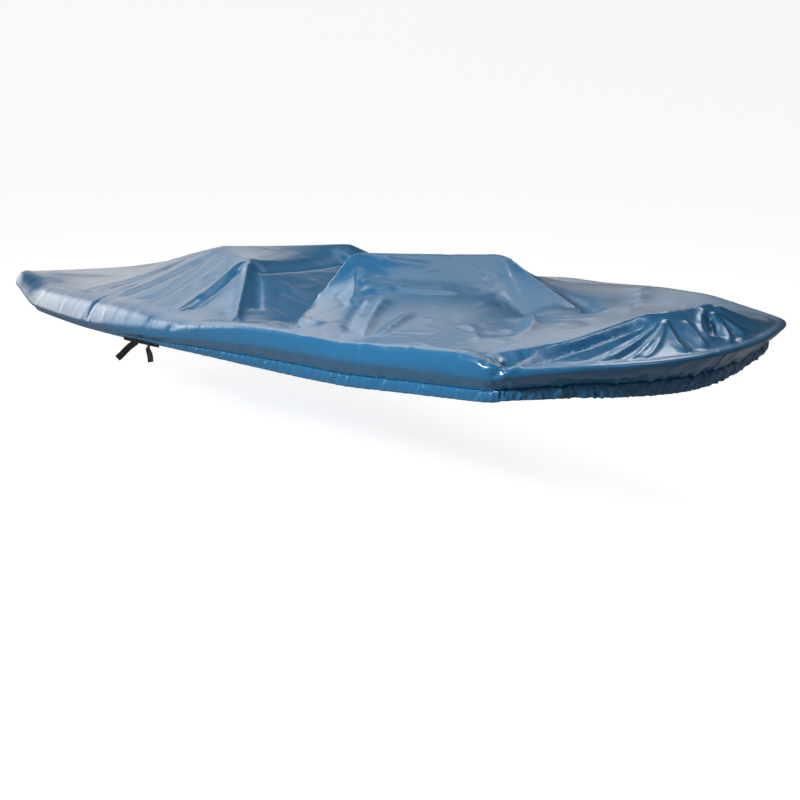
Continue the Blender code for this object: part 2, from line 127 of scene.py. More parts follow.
def rail_plan(count):
    """The rail's outer edge, its inward normals and the run to each point."""
    share = np.linspace(0, 1, SIDE_STEPS)
    stern_y = -half_beam(np.array(0.0)) * np.linspace(0, 1, END_STEPS)
    bow_y = -half_beam(np.array(1.0)) * np.linspace(1, 0, END_STEPS)
    start = STERN_X + STERN_ROUND
    stern = np.c_[STERN_X + STERN_ROUND * (stern_y / stern_y[-1]) ** 2, stern_y]
    side = np.c_[start + (CORNER_X - start) * share, -half_beam(share)]
    bow = np.c_[CORNER_X + (NOSE_X - CORNER_X) * (1 - (bow_y / bow_y[0]) ** 2), bow_y]
    half = np.vstack([stern[:-1], side[:-1], bow])
    loop = resample(np.vstack([half, (half * [1, -1])[::-1][1:]]), EVEN_STEPS)
    total = loop_length(loop)
    loop = np.c_[blur(loop[:, 0], CORNER_SOFT, total), blur(loop[:, 1], CORNER_SOFT, total)]
    total = loop_length(loop)
    loop = resample(np.vstack([loop, loop[:1]]), count)
    along = np.roll(loop, -1, 0) - np.roll(loop, 1, 0)
    along /= np.linalg.norm(along, axis=1)[:, None]
    run = np.arange(count) * total / count
    return loop, np.c_[-along[:, 1], along[:, 0]], run


RAIL_POINTS = 2600       # vertices round the hem
COVER_STEP = 2           # the top and the skirt use every second one
plan, inward, run = rail_plan(RAIL_POINTS)
TOTAL = loop_length(plan)
side_run = np.minimum(run, TOTAL - run)
table = np.array(STATIONS)
NAMES = ("rail", "wall", "crest", "port", "inset", "drop", "tuck", "ruffle", "pitch")
sizes = {name: blur(np.interp(side_run, table[:, 0], table[:, k + 1]), STATION_BLEND, TOTAL)
         for k, name in enumerate(NAMES)}
port = sizes["port"] * np.clip(plan[:, 1] / PORT_FADE, 0, 1)
sizes["crest"] = sizes["crest"] + port
sizes["wall"] = np.maximum(sizes["wall"] + port, LEAST_WALL)
print("rail", round(TOTAL, 3), "m round")

# %% [markdown]
# ## Folds
# A fold is a line on the cloth with a height. Its crest may be sharp or round, one flank may
# be steeper than the other, and it may grow or fade along its length. One function serves the
# top, where the line is given in plan, and the skirt, where it is given by the run along the
# rail and the distance down the cloth. A trough is a fold of negative height.

# %% Rows of the tables
# The tables of ridges and folds give all lengths in millimetres, and the rest of the script
# works in metres. bend, lean and sharp have no unit.
def metres(lengths):
    return [length / 1000 for length in lengths]


def ridge_row(name, *lengths):
    return (name, *metres(lengths))


def fold_row(name, x0, y0, x1, y1, bend, *shape):
    return (name, *metres((x0, y0, x1, y1)), bend, *metres(shape[:4]), *shape[4:])


def line_row(name, path, *shape):
    return (name, [metres(point) for point in path], *metres(shape[:4]), *shape[4:])


def crease_row(x, y, long, angle, bend, high, wide0, wide1, sharp):
    """A row, in metres, for a fold of even height with its middle at x and y."""
    step = np.array([math.cos(angle), math.sin(angle)]) * long / 2
    return ("crease", x - step[0], y - step[1], x + step[0], y + step[1],
            bend, high, high, wide0, wide1, 0.0, sharp)


# %% The fold function
FADE = 0.18              # share of a fold's length over which each end fades out


def fold_curve(x0, y0, x1, y1, bend, steps=14):
    """A line from one end to the other, its middle pushed aside by bend times its length."""
    part = np.linspace(0, 1, steps)[:, None]
    start, end = np.array([x0, y0]), np.array([x1, y1])
    aside = np.array([y0 - y1, x1 - x0]) * bend
    return start + (end - start) * part + aside * 4 * part * (1 - part)


def round_path(path, times=2):
    """A path with its corners cut off, its two ends kept."""
    line = np.array(path)
    for _ in range(times):
        ahead = line[1:] * 0.75 + line[:-1] * 0.25
        behind = line[1:] * 0.25 + line[:-1] * 0.75
        line = np.vstack([line[:1], np.stack([behind, ahead], 1).reshape(-1, 2)[1:-1], line[-1:]])
    return line


def soft_step(part):
    """0 to 1, without a corner at either end."""
    return part * part * (3 - 2 * part)


def fold_height(points, row):
    """Height that a fold between two ends adds at each of the points."""
    _, x0, y0, x1, y1, bend, *shape = row
    return line_height(points, fold_curve(x0, y0, x1, y1, bend), *shape)


def line_height(points, line, high0, high1, wide0, wide1, lean, sharp, fade=FADE):
    """Height that a fold along a line adds at each of the points."""
    reach = 3 * max(wide0, wide1)
    low, high = line.min(0) - reach, line.max(0) + reach
    near = np.where(((points > low) & (points < high)).all(1))[0]
    added = np.zeros(len(points))
    if len(near) == 0:
        return added
    at = points[near]
    best = np.full(len(at), np.inf)
    part, side = np.zeros(len(at)), np.zeros(len(at))
    for k in range(len(line) - 1):
        step = line[k + 1] - line[k]
        t = np.clip(((at - line[k]) @ step) / (step @ step), 0, 1)
        away = at - line[k] - t[:, None] * step
        gap = np.hypot(away[:, 0], away[:, 1])
        closer = gap < best
        best = np.where(closer, gap, best)
        part = np.where(closer, (k + t) / (len(line) - 1), part)
        side = np.where(closer, np.sign(step[0] * away[:, 1] - step[1] * away[:, 0]), side)
    width = (wide0 + (wide1 - wide0) * part) * (1 + lean * side)
    height = high0 + (high1 - high0) * part
    ends = soft_step(np.clip(part / fade, 0, 1) * np.clip((1 - part) / fade, 0, 1))
    shape = np.exp(-np.power(best / width + 1e-9, sharp))
    added[near] = height * ends * shape
    return added


# %% [markdown]
# ## The taut top
# The cloth is held up along a few ridges: the edges of two seats, the bow's deck and the
# crest of the rail. Between them it is close to the smooth surface of least area, which is
# found by solving for the height of each vertex as the mean of its neighbours, less a little
# for its weight. The vertices are closer together at the bow, where the small folds are.

# %% Ridges of the top
# Straight lines from one end to the other, sagging by sag in the middle.
RIDGES = [ridge_row(*row) for row in [
    # name, x0, y0, z0, x1, y1, z1, sag
    ("aft seat, top",     -740, -220, 140,  -500,  220, 138,   4),
    ("aft seat, side",    -740, -220, 140,  -450, -270, 145,   6),
    ("aft seat, front",   -450, -270, 145,  -500,  220, 138,  30),
    ("aft seat, fold",    -450, -270, 145,   -30, -580,  10,  10),
    ("aft seat, aft",     -740, -220, 140, -1330, -385, -80, -10),
    ("aft seat, far",     -500,  220, 138,  -520,  580, -10,  15),
    ("mid seat, top",      170, -220, 270,   470,  220, 260,   3),
    ("mid seat, edge",     170, -220, 270,   130, -430,  30,   4),
    ("mid seat, crease",   470,  220, 260,   840,   50,  96,  12),
    ("mid seat, bow",      470,  220, 260,   930,  240, 115,   0),
    ("mid seat, far",      470,  220, 260,   380,  500,  60,  30),
    ("mid seat, aft",      170, -220, 270,   -20,   20,  10,  12),
    ("well",               -20,   20,  10,    70, -450, -20,   2),
    ("well, far",          -20,   20,  10,    50,  560,  20,  10),
    ("rowlock",            800,  600, 150,   980,  400, 125,   0),
    ("deck edge, side",   1400, -570, 192,  1499, -328, 219,   0),
    ("deck edge, middle", 1499, -328, 219,  1533,  -64, 271,   0),
    ("deck edge, nose",   1533,  -64, 271,  1553,   36, 283,   0),
    ("deck edge, port",   1553,   36, 283,  1535,  226, 281,   6),
    ("deck edge, far",    1535,  226, 281,  1460,  470, 185,   0),
    ("bow fold, low",     1500, -575, 156,  1515, -360, 190,   0),
    ("bow fold, high",    1515, -360, 190,  1556,  -80, 241,   4),
    ("bow ridge, low",    1560, -520, 174,  1580, -340, 204,   0),
    ("bow ridge, high",   1580, -340, 204,  1570,  -60, 249,   4),
]]

# %% Folds of the top
# x and y are in plan. lean makes the left flank wider when it is positive, looking from the
# first end to the second; sharp is 1 for a knife-edged crest and 2 for a round one.
TOP_FOLDS = [fold_row(*row) for row in [
    # name, x0, y0, x1, y1, bend, high0, high1, wide0, wide1, lean, sharp
    ("stern groove",       -1640, -560,  -980, -665,  0.05, -10, -14, 30, 22, 0.2,  1.6),
    ("stern foot crease",  -1280, -440, -1500,  -80, -0.04,   8,   6, 18, 14,   0,  1.2),
    ("stern slack",        -1550, -300, -1220, -500,  0.06,  -8,  -6, 50, 40,   0,  1.8),
    ("pocket",               -40, -610,    80, -610,     0, -12, -10, 20, 22,   0,  1.6),
    ("packing crease",      -300, -240,  -100, -210,     0,   4,   4,  6,  6,   0, 1.05),
    ("packing crease, b",   -200, -300,   -60, -230,     0,   4,   2,  6,  6,   0, 1.05),
    ("mid seat foot",        320, -600,   540, -580,  0.05,  12,   8, 26, 30,   0,  1.8),
    ("foot hollow",          240, -560,   300, -640,     0, -10,  -8, 16, 18,   0,  1.6),
    ("face streak",          200, -230,   400, -390,  0.03,  10,  10, 14, 16,   0, 1.35),
    ("face crease",          240, -350,   420, -420,  0.05,  -7,  -7, 11, 11,   0, 1.25),
    ("long streak",          450, -260,   830, -620, -0.04,  18,  12, 16, 14, 0.3, 1.15),
    ("beside the streak",    400, -330,   720, -610, -0.04, -12, -10, 18, 18,   0, 1.55),
    ("second streak",        660, -300,   860, -580, -0.03,  11,   8, 14, 14,   0, 1.25),
    ("upper lights",         260, -160,   400,  -30,     0,   7,   6, 16, 14,   0, 1.45),
    ("upper lights, b",      280, -275,   460, -200,     0,   7,   7, 13, 14,   0, 1.35),
    ("bow-side crease",      820,   60,  1260, -290,  0.04,  19,  12, 18, 26,   0, 1.25),
    ("bow-side hollow",      900,  -60,  1220, -360,  0.04,  -8,  -8, 40, 40,   0,  1.8),
    ("shadow triangle",      540,  275,  1000,  285,     0, -22, -14, 34, 34,   0,  1.5),
    ("foredeck wrinkle",     900, -260,  1240, -465,  0.02,   8,   7, 14, 16,   0, 1.35),
    ("foredeck wrinkle b",  1000, -180,  1340, -330, -0.02,   7,   5, 18, 19,   0, 1.45),
    ("foredeck slack",      1100,   80,  1380, -140,  0.03,  -8,  -6, 29, 29,   0, 1.65),
    ("far deck fold",        840,  560,  1080,  310,  0.03,   9,   6, 24, 24,   0,  1.5),
    ("far deck fold, b",     900,  470,  1140,  250, -0.02,   6,   4, 18, 18,   0,  1.5),
    ("far corner",          1440,  520,  1570,  520,  0.05,   6,   6, 14, 14,   0,  1.4),
    ("port swag one",       -620,  300,  -900,  600,   0.1,  12,  10, 28, 26,   0,  1.5),
    ("port swag two",       -450,  320,  -300,  640,  -0.1,  12,  10, 26, 24,   0,  1.4),
    ("port swag hollow",    -380,  300,  -160,  620,  -0.1, -12, -10, 34, 30,   0,  1.7),
    ("port streak",          340,  300,   100,  640,  0.06,  14,  10, 24, 24, 0.2,  1.4),
    ("port streak, b",       500,  320,   620,  640, -0.05,  14,  10, 24, 26,   0,  1.4),
    ("port hollow",          400,  360,   360,  630,     0, -12, -10, 34, 34,   0,  1.8),
    ("stern swag",         -1200,  100, -1600,  -80,  0.05,   8,   6, 40, 34,   0,  1.6),
    ("stern swag, far",    -1000,  120, -1620,  420, -0.05,  10,   8, 36, 30,   0,  1.5),
    ("stern corner",       -1450, -300, -1740, -520,     0,   7,   6, 24, 20,   0,  1.5),
    ("stern corner, far",  -1420,  380, -1720,  520,     0,   7,   6, 24, 20,   0,  1.5),
]]

# %% Folds that bend
# The fans of folds at the aft seat's corner and at the bow follow lines of several points.
FAN_FADE = 0.09          # they run closer to their ends than the straight ones
FAN_FOLDS = [line_row(*row) for row in [
    # name, line, high0, high1, wide0, wide1, lean, sharp
    ("seat corner edge", [(-451, -285), (-466, -325), (-448, -379), (-413, -452), (-378, -545)],
     12, 14, 14, 16, -0.2, 1.2),
    ("notch", [(-400, -520), (-385, -566), (-363, -618), (-350, -650)], 8, 10, 8, 8, -0.3, 1.1),
    ("second notch", [(-365, -530), (-334, -596), (-321, -663)], 8, 10, 9, 9, -0.3, 1.2),
    ("seat corner hollow", [(-415, -330), (-375, -440), (-340, -560), (-300, -620)],
     -8, -16, 18, 28, 0, 1.7),
    ("bright fold", [(-440, -285), (-300, -390), (-150, -505), (-30, -590)],
     16, 20, 11, 15, 0, 1.3),
    ("beside the bright fold", [(-420, -260), (-270, -350), (-110, -450)],
     -10, -12, 16, 22, 0, 1.6),
    ("swag valley, a", [(-740, -251), (-676, -393), (-615, -551), (-662, -628), (-915, -674)],
     -6, -5, 12, 14, 0.2, 1.4),
    ("swag ridge, a", [(-661, -343), (-600, -497), (-588, -576), (-600, -631), (-700, -670)],
     5, 4, 10, 10, 0, 1.25),
    ("swag valley, b", [(-500, -330), (-470, -480), (-450, -570), (-440, -650)],
     -5, -6, 11, 12, 0, 1.4),
    ("swag ridge, b", [(-770, -290), (-809, -361), (-815, -477), (-890, -610)],
     5, 5, 12, 14, 0, 1.25),
    ("swag valley, c", [(-720, -310), (-745, -440), (-780, -570), (-870, -655)],
     -5, -5, 14, 13, 0, 1.45),
    ("swag ridge, c", [(-596, -282), (-545, -399), (-540, -485), (-521, -575), (-510, -650)],
     5, 6, 9, 10, 0, 1.2),
    ("swag valley, d", [(-860, -300), (-900, -400), (-1000, -540), (-1120, -620)],
     -4, -4, 16, 14, 0, 1.5),
    ("swag ridge, d", [(-900, -320), (-980, -420), (-1120, -540), (-1300, -600)],
     4, 4, 14, 14, 0, 1.4),
    ("under the seat's front", [(-375, -290), (-385, -100), (-405, 80), (-430, 180)],
     -20, -24, 30, 32, 0.45, 1.9),
    ("well, deep", [(-30, 20), (40, -200), (60, -380), (90, -560)], -20, -30, 45, 45, 0, 1.8),
    ("well, foot", [(487, -678), (343, -575), (183, -465), (100, -360)],
     -40, -30, 32, 32, 0.62, 1.7),
    ("seat edge, aft", [(170, -220), (155, -330), (135, -430), (160, -480)],
     6, 8, 8, 10, 0.3, 1.0),
    ("seat edge, bow", [(470, 220), (700, 232), (940, 240)], 9, 8, 9, 9, -0.3, 1.0),
    ("seat crease light", [(480, 205), (645, 141), (794, 77), (900, 10)], 7, 6, 14, 24, 0, 1.55),
    ("face step", [(340, -320), (371, -295), (455, -214), (537, -144), (600, -60)],
     6, 5, 24, 22, 0.45, 1.6),
    ("bow crest light", [(1403, -563), (1450, -448), (1496, -328), (1513, -230), (1525, -130),
                         (1533, -64), (1551, 20)], 6, 8, 12, 10, 0, 1.55),
    ("deep fold", [(1490, -620), (1500, -575), (1507, -470), (1515, -360), (1531, -250),
                   (1546, -150), (1556, -80)], -26, -12, 18, 10, 0, 1.7),
    ("lip of the deep fold", [(1535, -600), (1560, -520), (1570, -430), (1580, -340),
                              (1577, -240), (1573, -140), (1570, -60)], 10, 6, 14, 9, 0, 1.55),
    ("second fold", [(1585, -590), (1603, -505), (1622, -402), (1622, -298), (1601, -186),
                     (1586, -90), (1580, -30)], -10, -6, 18, 9, 0, 1.6),
    ("third ridge", [(1625, -500), (1662, -412), (1666, -310), (1647, -223), (1607, -92),
                     (1578, 0)], 11, 7, 12, 8, 0, 1.2),
    ("third valley", [(1690, -410), (1695, -307), (1661, -199), (1613, -77), (1580, 2)],
     -9, -6, 13, 6, 0, 1.5),
    ("fourth ridge", [(1712, -350), (1712, -250), (1668, -153), (1621, -64), (1578, 10)],
     8, 6, 10, 6, 0, 1.15),
    ("fifth ridge", [(1750, -250), (1690, -132), (1640, -59), (1578, 12)], 8, 6, 9, 6, 0, 1.2),
    ("sixth ridge", [(1580, 14), (1655, -27), (1741, -55), (1787, -47)], 7, 9, 6, 11, 0, 1.2),
    ("sixth valley", [(1585, 14), (1639, 2), (1713, 4), (1782, -14)], -7, -8, 6, 11, 0, 1.4),
    ("seventh ridge", [(1600, 75), (1621, 66), (1668, 61), (1750, 30)], 6, 8, 10, 12, 0, 1.3),
    ("dimple, near rim", [(1554, 198), (1610, 130), (1666, 88), (1720, 80)],
     11, 8, 9, 10, 0, 1.2),
    ("dimple", [(1600, 180), (1642, 148), (1692, 121)], -26, -24, 17, 18, 0, 1.9),
    ("dimple, far rim", [(1570, 212), (1622, 187), (1675, 143), (1700, 110)],
     11, 9, 8, 9, 0, 1.15),
    ("nose ridge", [(1565, 220), (1618, 208), (1661, 194), (1720, 157), (1778, 110)],
     12, 12, 6, 8, 0, 1.05),
    ("nose valley", [(1585, 226), (1640, 216), (1700, 200), (1765, 160)],
     -10, -16, 7, 13, 0, 1.4),
    ("broad nose ridge", [(1570, 236), (1617, 231), (1648, 232), (1693, 243), (1745, 275)],
     12, 18, 8, 14, 0, 1.15),
    ("far valley", [(1580, 244), (1627, 255), (1670, 285), (1690, 345)], -10, -12, 9, 16, 0, 1.5),
    ("far ridge", [(1548, 236), (1560, 288), (1573, 325), (1605, 385)], 10, 8, 7, 8, 0, 1.1),
    ("far rim", [(1550, 240), (1573, 325), (1578, 410), (1558, 490), (1520, 560)],
     10, 14, 34, 34, -0.55, 1.6),
]]


# %% Vertices of the top
FINE = 0.0068            # vertex pitch at the bow
MEDIUM = 0.0138          # and elsewhere on the starboard side and the seats
COARSE = 0.0230          # and on the port side and the stern
BOW_X, FAN_Y = 1.38, 0.34            # the fine part: forward of BOW_X, as far to port as FAN_Y
STERN_SEAT_X, PORT_Y = -1.05, 0.33   # the coarse parts: aft of the seats, and to port
ROW = 0.866              # rows of an even triangle grid, as a share of its pitch
GRID_GAP = 0.6           # least gap round a grid vertex, as a share of its pitch
CREASE_GAP = 0.0042      # least gap round a vertex on a crease
EDGE = 0.01              # margin round the plan


def pitch_at(points):
    """The vertex pitch wanted at each of the points."""
    pitch = np.full(len(points), MEDIUM)
    pitch[(points[:, 1] > PORT_Y) | (points[:, 0] < STERN_SEAT_X)] = COARSE
    pitch[(points[:, 0] > BOW_X) & (points[:, 1] < FAN_Y)] = FINE
    return pitch


BATCH = 2000             # points handled at a time, to save memory


def inside(points, loop):
    """Which points lie inside a closed plan loop, by the crossings of a line along X."""
    result = np.zeros(len(points), bool)
    x0, y0 = loop[:, 0], loop[:, 1]
    x1, y1 = np.roll(x0, -1), np.roll(y0, -1)
    rise = np.where(y1 == y0, 1e-12, y1 - y0)
    for start in range(0, len(points), BATCH):
        x, y = points[start:start + BATCH].T[:, :, None]
        cross = ((y0 > y) != (y1 > y)) & (x < x0 + (y - y0) * (x1 - x0) / rise)
        result[start:start + BATCH] = cross.sum(1) % 2 == 1
    return result


CELL = 0.02              # side of the squares that the vertices are sorted into


def keep_apart(points, gap, taken):
    """Those of the points that lie further than gap from all taken ones, which they join."""
    kept = []
    for x, y in points:
        i, j = int(x // CELL), int(y // CELL)
        close = [p for a in (-1, 0, 1) for b in (-1, 0, 1) for p in taken.get((i + a, j + b), ())]
        if all(math.hypot(px - x, py - y) > gap for px, py in close):
            taken.setdefault((i, j), []).append((x, y))
            kept.append((x, y))
    return kept


RIDGE_STEP, BOW_RIDGE_STEP = 0.013, 0.010
BOW_RIDGES_X = 1.3       # ridges that start forward of this take the smaller step
SAME_PLACE = 0.003       # ridge ends closer than this are one point


def ridge_lines():
    """Points along the ridges with their heights, and the pairs that join them."""
    points, pairs = [], []
    for _, x0, y0, z0, x1, y1, z1, sag in RIDGES:
        long = math.hypot(x1 - x0, y1 - y0)
        steps = round(long / (BOW_RIDGE_STEP if x0 > BOW_RIDGES_X else RIDGE_STEP))
        ids = []
        for part in np.linspace(0, 1, steps + 1):
            z = z0 + (z1 - z0) * part - 4 * sag * part * (1 - part)
            point = (x0 + (x1 - x0) * part, y0 + (y1 - y0) * part, z)
            same = [k for k, other in enumerate(points)
                    if math.dist(other[:2], point[:2]) < SAME_PLACE]
            ids.append(same[0] if same else len(points))
            if not same:
                points.append(point)
        pairs += [pair for pair in zip(ids, ids[1:]) if pair[0] != pair[1]]
    return np.array(points), pairs


def beside(line, aside):
    """The line moved to its left by aside."""
    step = np.gradient(line, axis=0)
    step /= np.linalg.norm(step, axis=1)[:, None] + 1e-12
    return line + np.c_[-step[:, 1], step[:, 0]] * aside


def even_path(line, pitch):
    """An open line as points a pitch apart."""
    along = np.r_[0, np.cumsum(np.linalg.norm(np.diff(line, axis=0), axis=1))]
    at = np.linspace(0, along[-1], round(along[-1] / pitch) + 1)
    return np.c_[np.interp(at, along, line[:, 0]), np.interp(at, along, line[:, 1])]


# Vertices lie along the creases at these steps and at these distances to both sides.
RIDGE_CREASE, RIDGE_SIDES = 0.011, (0.0055, -0.0055, 0.0125, -0.0125)
FOLD_CREASE, FOLD_SIDES = 0.010, (0, 0.0065, -0.0065)
FAN_CREASE, FAN_SIDES = 0.008, (0, 0.0050, -0.0050, 0.0105, -0.0105)
CRISP_FOLD, CRISP_FAN = 1.4, 1.5     # folds rounder than this do without


def crease_lines():
    """Plan lines beside each ridge and along each crisp fold, which keep these edges crisp."""
    lines = []

    def straight(x0, y0, x1, y1, bend, step, sides):
        long = math.hypot(x1 - x0, y1 - y0)
        line = fold_curve(x0, y0, x1, y1, bend, round(long / step) + 1)
        lines.extend(beside(line, aside) for aside in sides)

    for _, x0, y0, _, x1, y1, _, _ in RIDGES:
        straight(x0, y0, x1, y1, 0, RIDGE_CREASE, RIDGE_SIDES)
    for _, x0, y0, x1, y1, bend, *_, sharp in TOP_FOLDS:
        if sharp <= CRISP_FOLD:
            straight(x0, y0, x1, y1, bend, FOLD_CREASE, FOLD_SIDES)
    for _, path, *_, sharp in FAN_FOLDS:
        if sharp <= CRISP_FAN:
            line = even_path(round_path(path), FAN_CREASE)
            lines += [beside(line, aside) for aside in FAN_SIDES]
    return np.vstack(lines)


def top_grid(crest_plan, ridge):
    """Vertices along the creases, and between them an even grid in three pitches."""
    taken = {}
    keep_apart(crest_plan, -1, taken)
    keep_apart(ridge, -1, taken)
    creases = crease_lines()
    chosen = keep_apart(creases[inside(creases, crest_plan)], CREASE_GAP, taken)
    side, end = BEAM / 2 + EDGE, -STERN_X + EDGE
    for pitch in (FINE, MEDIUM, COARSE):
        rows = np.arange(-side, side, pitch * ROW)
        grid = np.array([(x + (pitch / 2 if row % 2 else 0), y)
                         for row, y in enumerate(rows) for x in np.arange(-end, end, pitch)])
        grid = grid[pitch_at(grid) == pitch]
        chosen += keep_apart(grid[inside(grid, crest_plan)], pitch * GRID_GAP, taken)
    return np.array(chosen)


# %% Solve for the taut surface
SOFTEN = 0.0045          # radius to which the ridges are rounded
FOLD_SOFTEN = 0.0036     # and the folds
LEAST_WEIGHT = 0.05      # an edge's, so that thin triangles do no harm
TAUT_STEPS, ROUND_STEPS = 1500, 60   # most steps of the solver


def edge_weights(points, triangles):
    """Each edge's two ends and weight, and the plan area that each vertex carries."""
    ends, weights = [], []
    share = np.zeros(len(points))
    for k in range(3):
        a, b, o = triangles[:, k], triangles[:, (k + 1) % 3], triangles[:, (k + 2) % 3]
        u, v = points[a] - points[o], points[b] - points[o]
        double = np.abs(u[:, 0] * v[:, 1] - u[:, 1] * v[:, 0])
        weight = np.maximum((u * v).sum(1) / np.maximum(double, 1e-10), LEAST_WEIGHT) / 2
        ends += [np.c_[a, b], np.c_[b, a]]
        weights += [weight, weight]
        share += np.bincount(a, double / 6, len(points))
    return np.vstack(ends), np.concatenate(weights), share


def solve(ends, weights, diagonal, right, start, free, steps, good=1e-7):
    """Heights z for which total * z - sum(weight * neighbour's z) is right, by conjugate gradients.

    total is the sum of a vertex's weights and its diagonal; only the free vertices move.
    """
    total = np.bincount(ends[:, 0], weights, len(start)) + diagonal
    free = free & (total > 0)
    total = np.maximum(total, 1e-9)

    def apply(values):
        return total * values - np.bincount(ends[:, 0], weights * values[ends[:, 1]], len(values))

    z = start.copy()
    rest = np.where(free, right - apply(z), 0)
    direction = rest / total
    power = (rest * direction).sum()
    for _ in range(steps):
        pushed = np.where(free, apply(direction), 0)
        amount = power / (direction * pushed).sum()
        z += amount * direction
        rest -= amount * pushed
        if np.abs(rest).max() < good:
            break
        scaled = rest / total
        new_power = (rest * scaled).sum()
        direction = scaled + direction * new_power / power
        power = new_power
    return z


def round_off(points, triangles, z, rim, radius):
    """Heights rounded off to a radius, with the rim kept."""
    ends, weights, share = edge_weights(points, triangles)
    return solve(ends, weights * radius ** 2, share, share * z, z, ~rim, ROUND_STEPS, 1e-10)


def build_top(crest):
    """The top's vertices, triangles and the numbers of the crest's vertices among them."""
    ridge, pairs = ridge_lines()
    grid = top_grid(crest[:, :2], ridge[:, :2])
    flat = np.vstack([crest[:, :2], ridge[:, :2], grid])
    count = len(crest)
    edges = [(i, (i + 1) % count) for i in range(count)]
    edges += [(a + count, b + count) for a, b in pairs]
    found = delaunay_2d_cdt([Vector(p) for p in flat], edges, [], 0, 1e-6)
    points = np.array([tuple(p) for p in found[0]])
    triangles = np.array([tuple(face) for face in found[2]])
    triangles = triangles[inside(points[triangles].mean(1), crest[:, :2])]
    where, held, height = {}, np.zeros(len(points), bool), np.zeros(len(points))
    for index, sources in enumerate(found[3]):
        for source in sources:
            where[source] = index
            if source < count + len(ridge):
                held[index] = True
                height[index] = crest[source, 2] if source < count else ridge[source - count, 2]
    ends, weights, share = edge_weights(points, triangles)
    z = solve(ends, weights, np.zeros(len(points)), -LOAD * share, height, ~held, TAUT_STEPS)
    rim = np.zeros(len(points), bool)
    rim[[where[i] for i in range(count)]] = True
    z = round_off(points, triangles, z, rim, SOFTEN)
    return points, z, triangles, [where[i] for i in range(count)], rim


# %% [markdown]
# ## The skirt and the hem
# From the crest the cloth rolls over the rail, falls past its outer edge and is drawn in under
# it. Rings round the plan carry this profile down to the hem. Above the line of stitches the
# gathers are long and shallow, and below it, where the elastic runs, they are short and deep.

# %% Rings of the skirt
PROFILE = [
    # level, inset, wall, roll, tuck, drop: shares of the station's sizes, crest to hem
    (0.00, 1.00, 1.00, 1.00, 0.00, 0.00),
    (0.05, 0.70, 1.00, 0.92, 0.00, 0.00),
    (0.10, 0.42, 1.00, 0.74, 0.00, 0.00),
    (0.15, 0.19, 1.00, 0.44, 0.00, 0.00),
    (0.21, 0.05, 0.96, 0.08, 0.00, 0.00),
    (0.30, 0.00, 0.62, 0.00, 0.00, 0.00),
    (0.40, 0.00, 0.14, 0.00, 0.01, 0.00),
    (0.46, 0.00, 0.00, 0.00, 0.10, 0.05),
    (0.60, 0.00, 0.00, 0.00, 0.50, 0.32),
    (0.76, 0.00, 0.00, 0.00, 0.92, 0.58),
    (0.84, 0.00, 0.00, 0.00, 0.96, 0.72),
    (1.00, 0.00, 0.00, 0.00, 1.00, 1.00),
]
STITCH_LEVEL = 0.76      # level of the stitches that close the hem
LEVELS = [0, 0.05, 0.10, 0.15, 0.20, 0.26, 0.33, 0.39, 0.42, 0.45, 0.49, 0.55, 0.62, 0.69, 0.73,
          STITCH_LEVEL]  # the rings above the hem
HEM_RINGS = 10
LEVEL_SIZE = 0.17        # metres of cloth from crest to hem, roughly
GATHER_LEVEL = 0.47      # level at which the gathers start, just under the rail's outer edge
BOW_RUN = 3.70           # run along the rail at which the bow's sharper gathers start
FULL_RUFFLE = 0.006      # ruffle at which the hem puffs out in full
PUFF = 0.0030            # how far the hem puffs out between the stitches and its edge
PINCH, PINCH_LEVELS = 0.0018, 0.02   # depth of the groove that the stitches pull, and its width


def smooth_rows(rows, at):
    """Rows of a table eased to the values of its first column given in at."""
    rows = np.array(rows, float)
    keys, values = rows[:, 0], rows[:, 1:]
    secant = np.diff(values, axis=0) / np.diff(keys)[:, None]
    slope = np.vstack([secant[:1], (secant[1:] + secant[:-1]) / 2, secant[-1:]])
    flat = np.vstack([secant[:1] * 0, secant[1:] * secant[:-1] <= 0, secant[-1:] * 0]) > 0
    slope[flat] = 0
    k = np.clip(np.searchsorted(keys, at, "right") - 1, 0, len(keys) - 2)
    long = (keys[k + 1] - keys[k])[:, None]
    t = (np.asarray(at) - keys[k])[:, None] / long
    return (values[k] * (1 + 2 * t) * (1 - t) ** 2 + slope[k] * long * t * (1 - t) ** 2
            + values[k + 1] * t * t * (3 - 2 * t) + slope[k + 1] * long * t * t * (t - 1))


def gathers(phase, harmonic=1.0, lean=0.0):
    """Uneven ruffles round the hem, about -1..1; lean shifts them along, in turns.

    Slow waves that don't repeat together make them wander and swell. Towards the bow they
    change from soft waves to sharp pleats.
    """
    turn = 2 * np.pi * np.cumsum(1 / sizes["pitch"]) * TOTAL / RAIL_POINTS
    turn *= round(turn[-1] / (2 * np.pi)) * 2 * np.pi / turn[-1]
    wander = 1.3 * np.sin(turn / 7.3 + phase) + 1.0 * np.sin(turn / 3.7 + 2 * phase)
    at = harmonic * turn + wander + 2 * np.pi * lean
    swell = 0.62 + 0.38 * np.sin(turn / 5.1 + 3 * phase) * np.sin(turn / 2.3 - phase)
    pleat = 1 - 1.7 * np.abs(np.sin(at / 2)) ** 0.9
    crisp = np.clip((side_run - BOW_RUN) / 0.4, 0.15, 0.6)
    return swell * ((1 - crisp) * np.sin(at + 0.8 * np.sin(at)) + crisp * pleat)


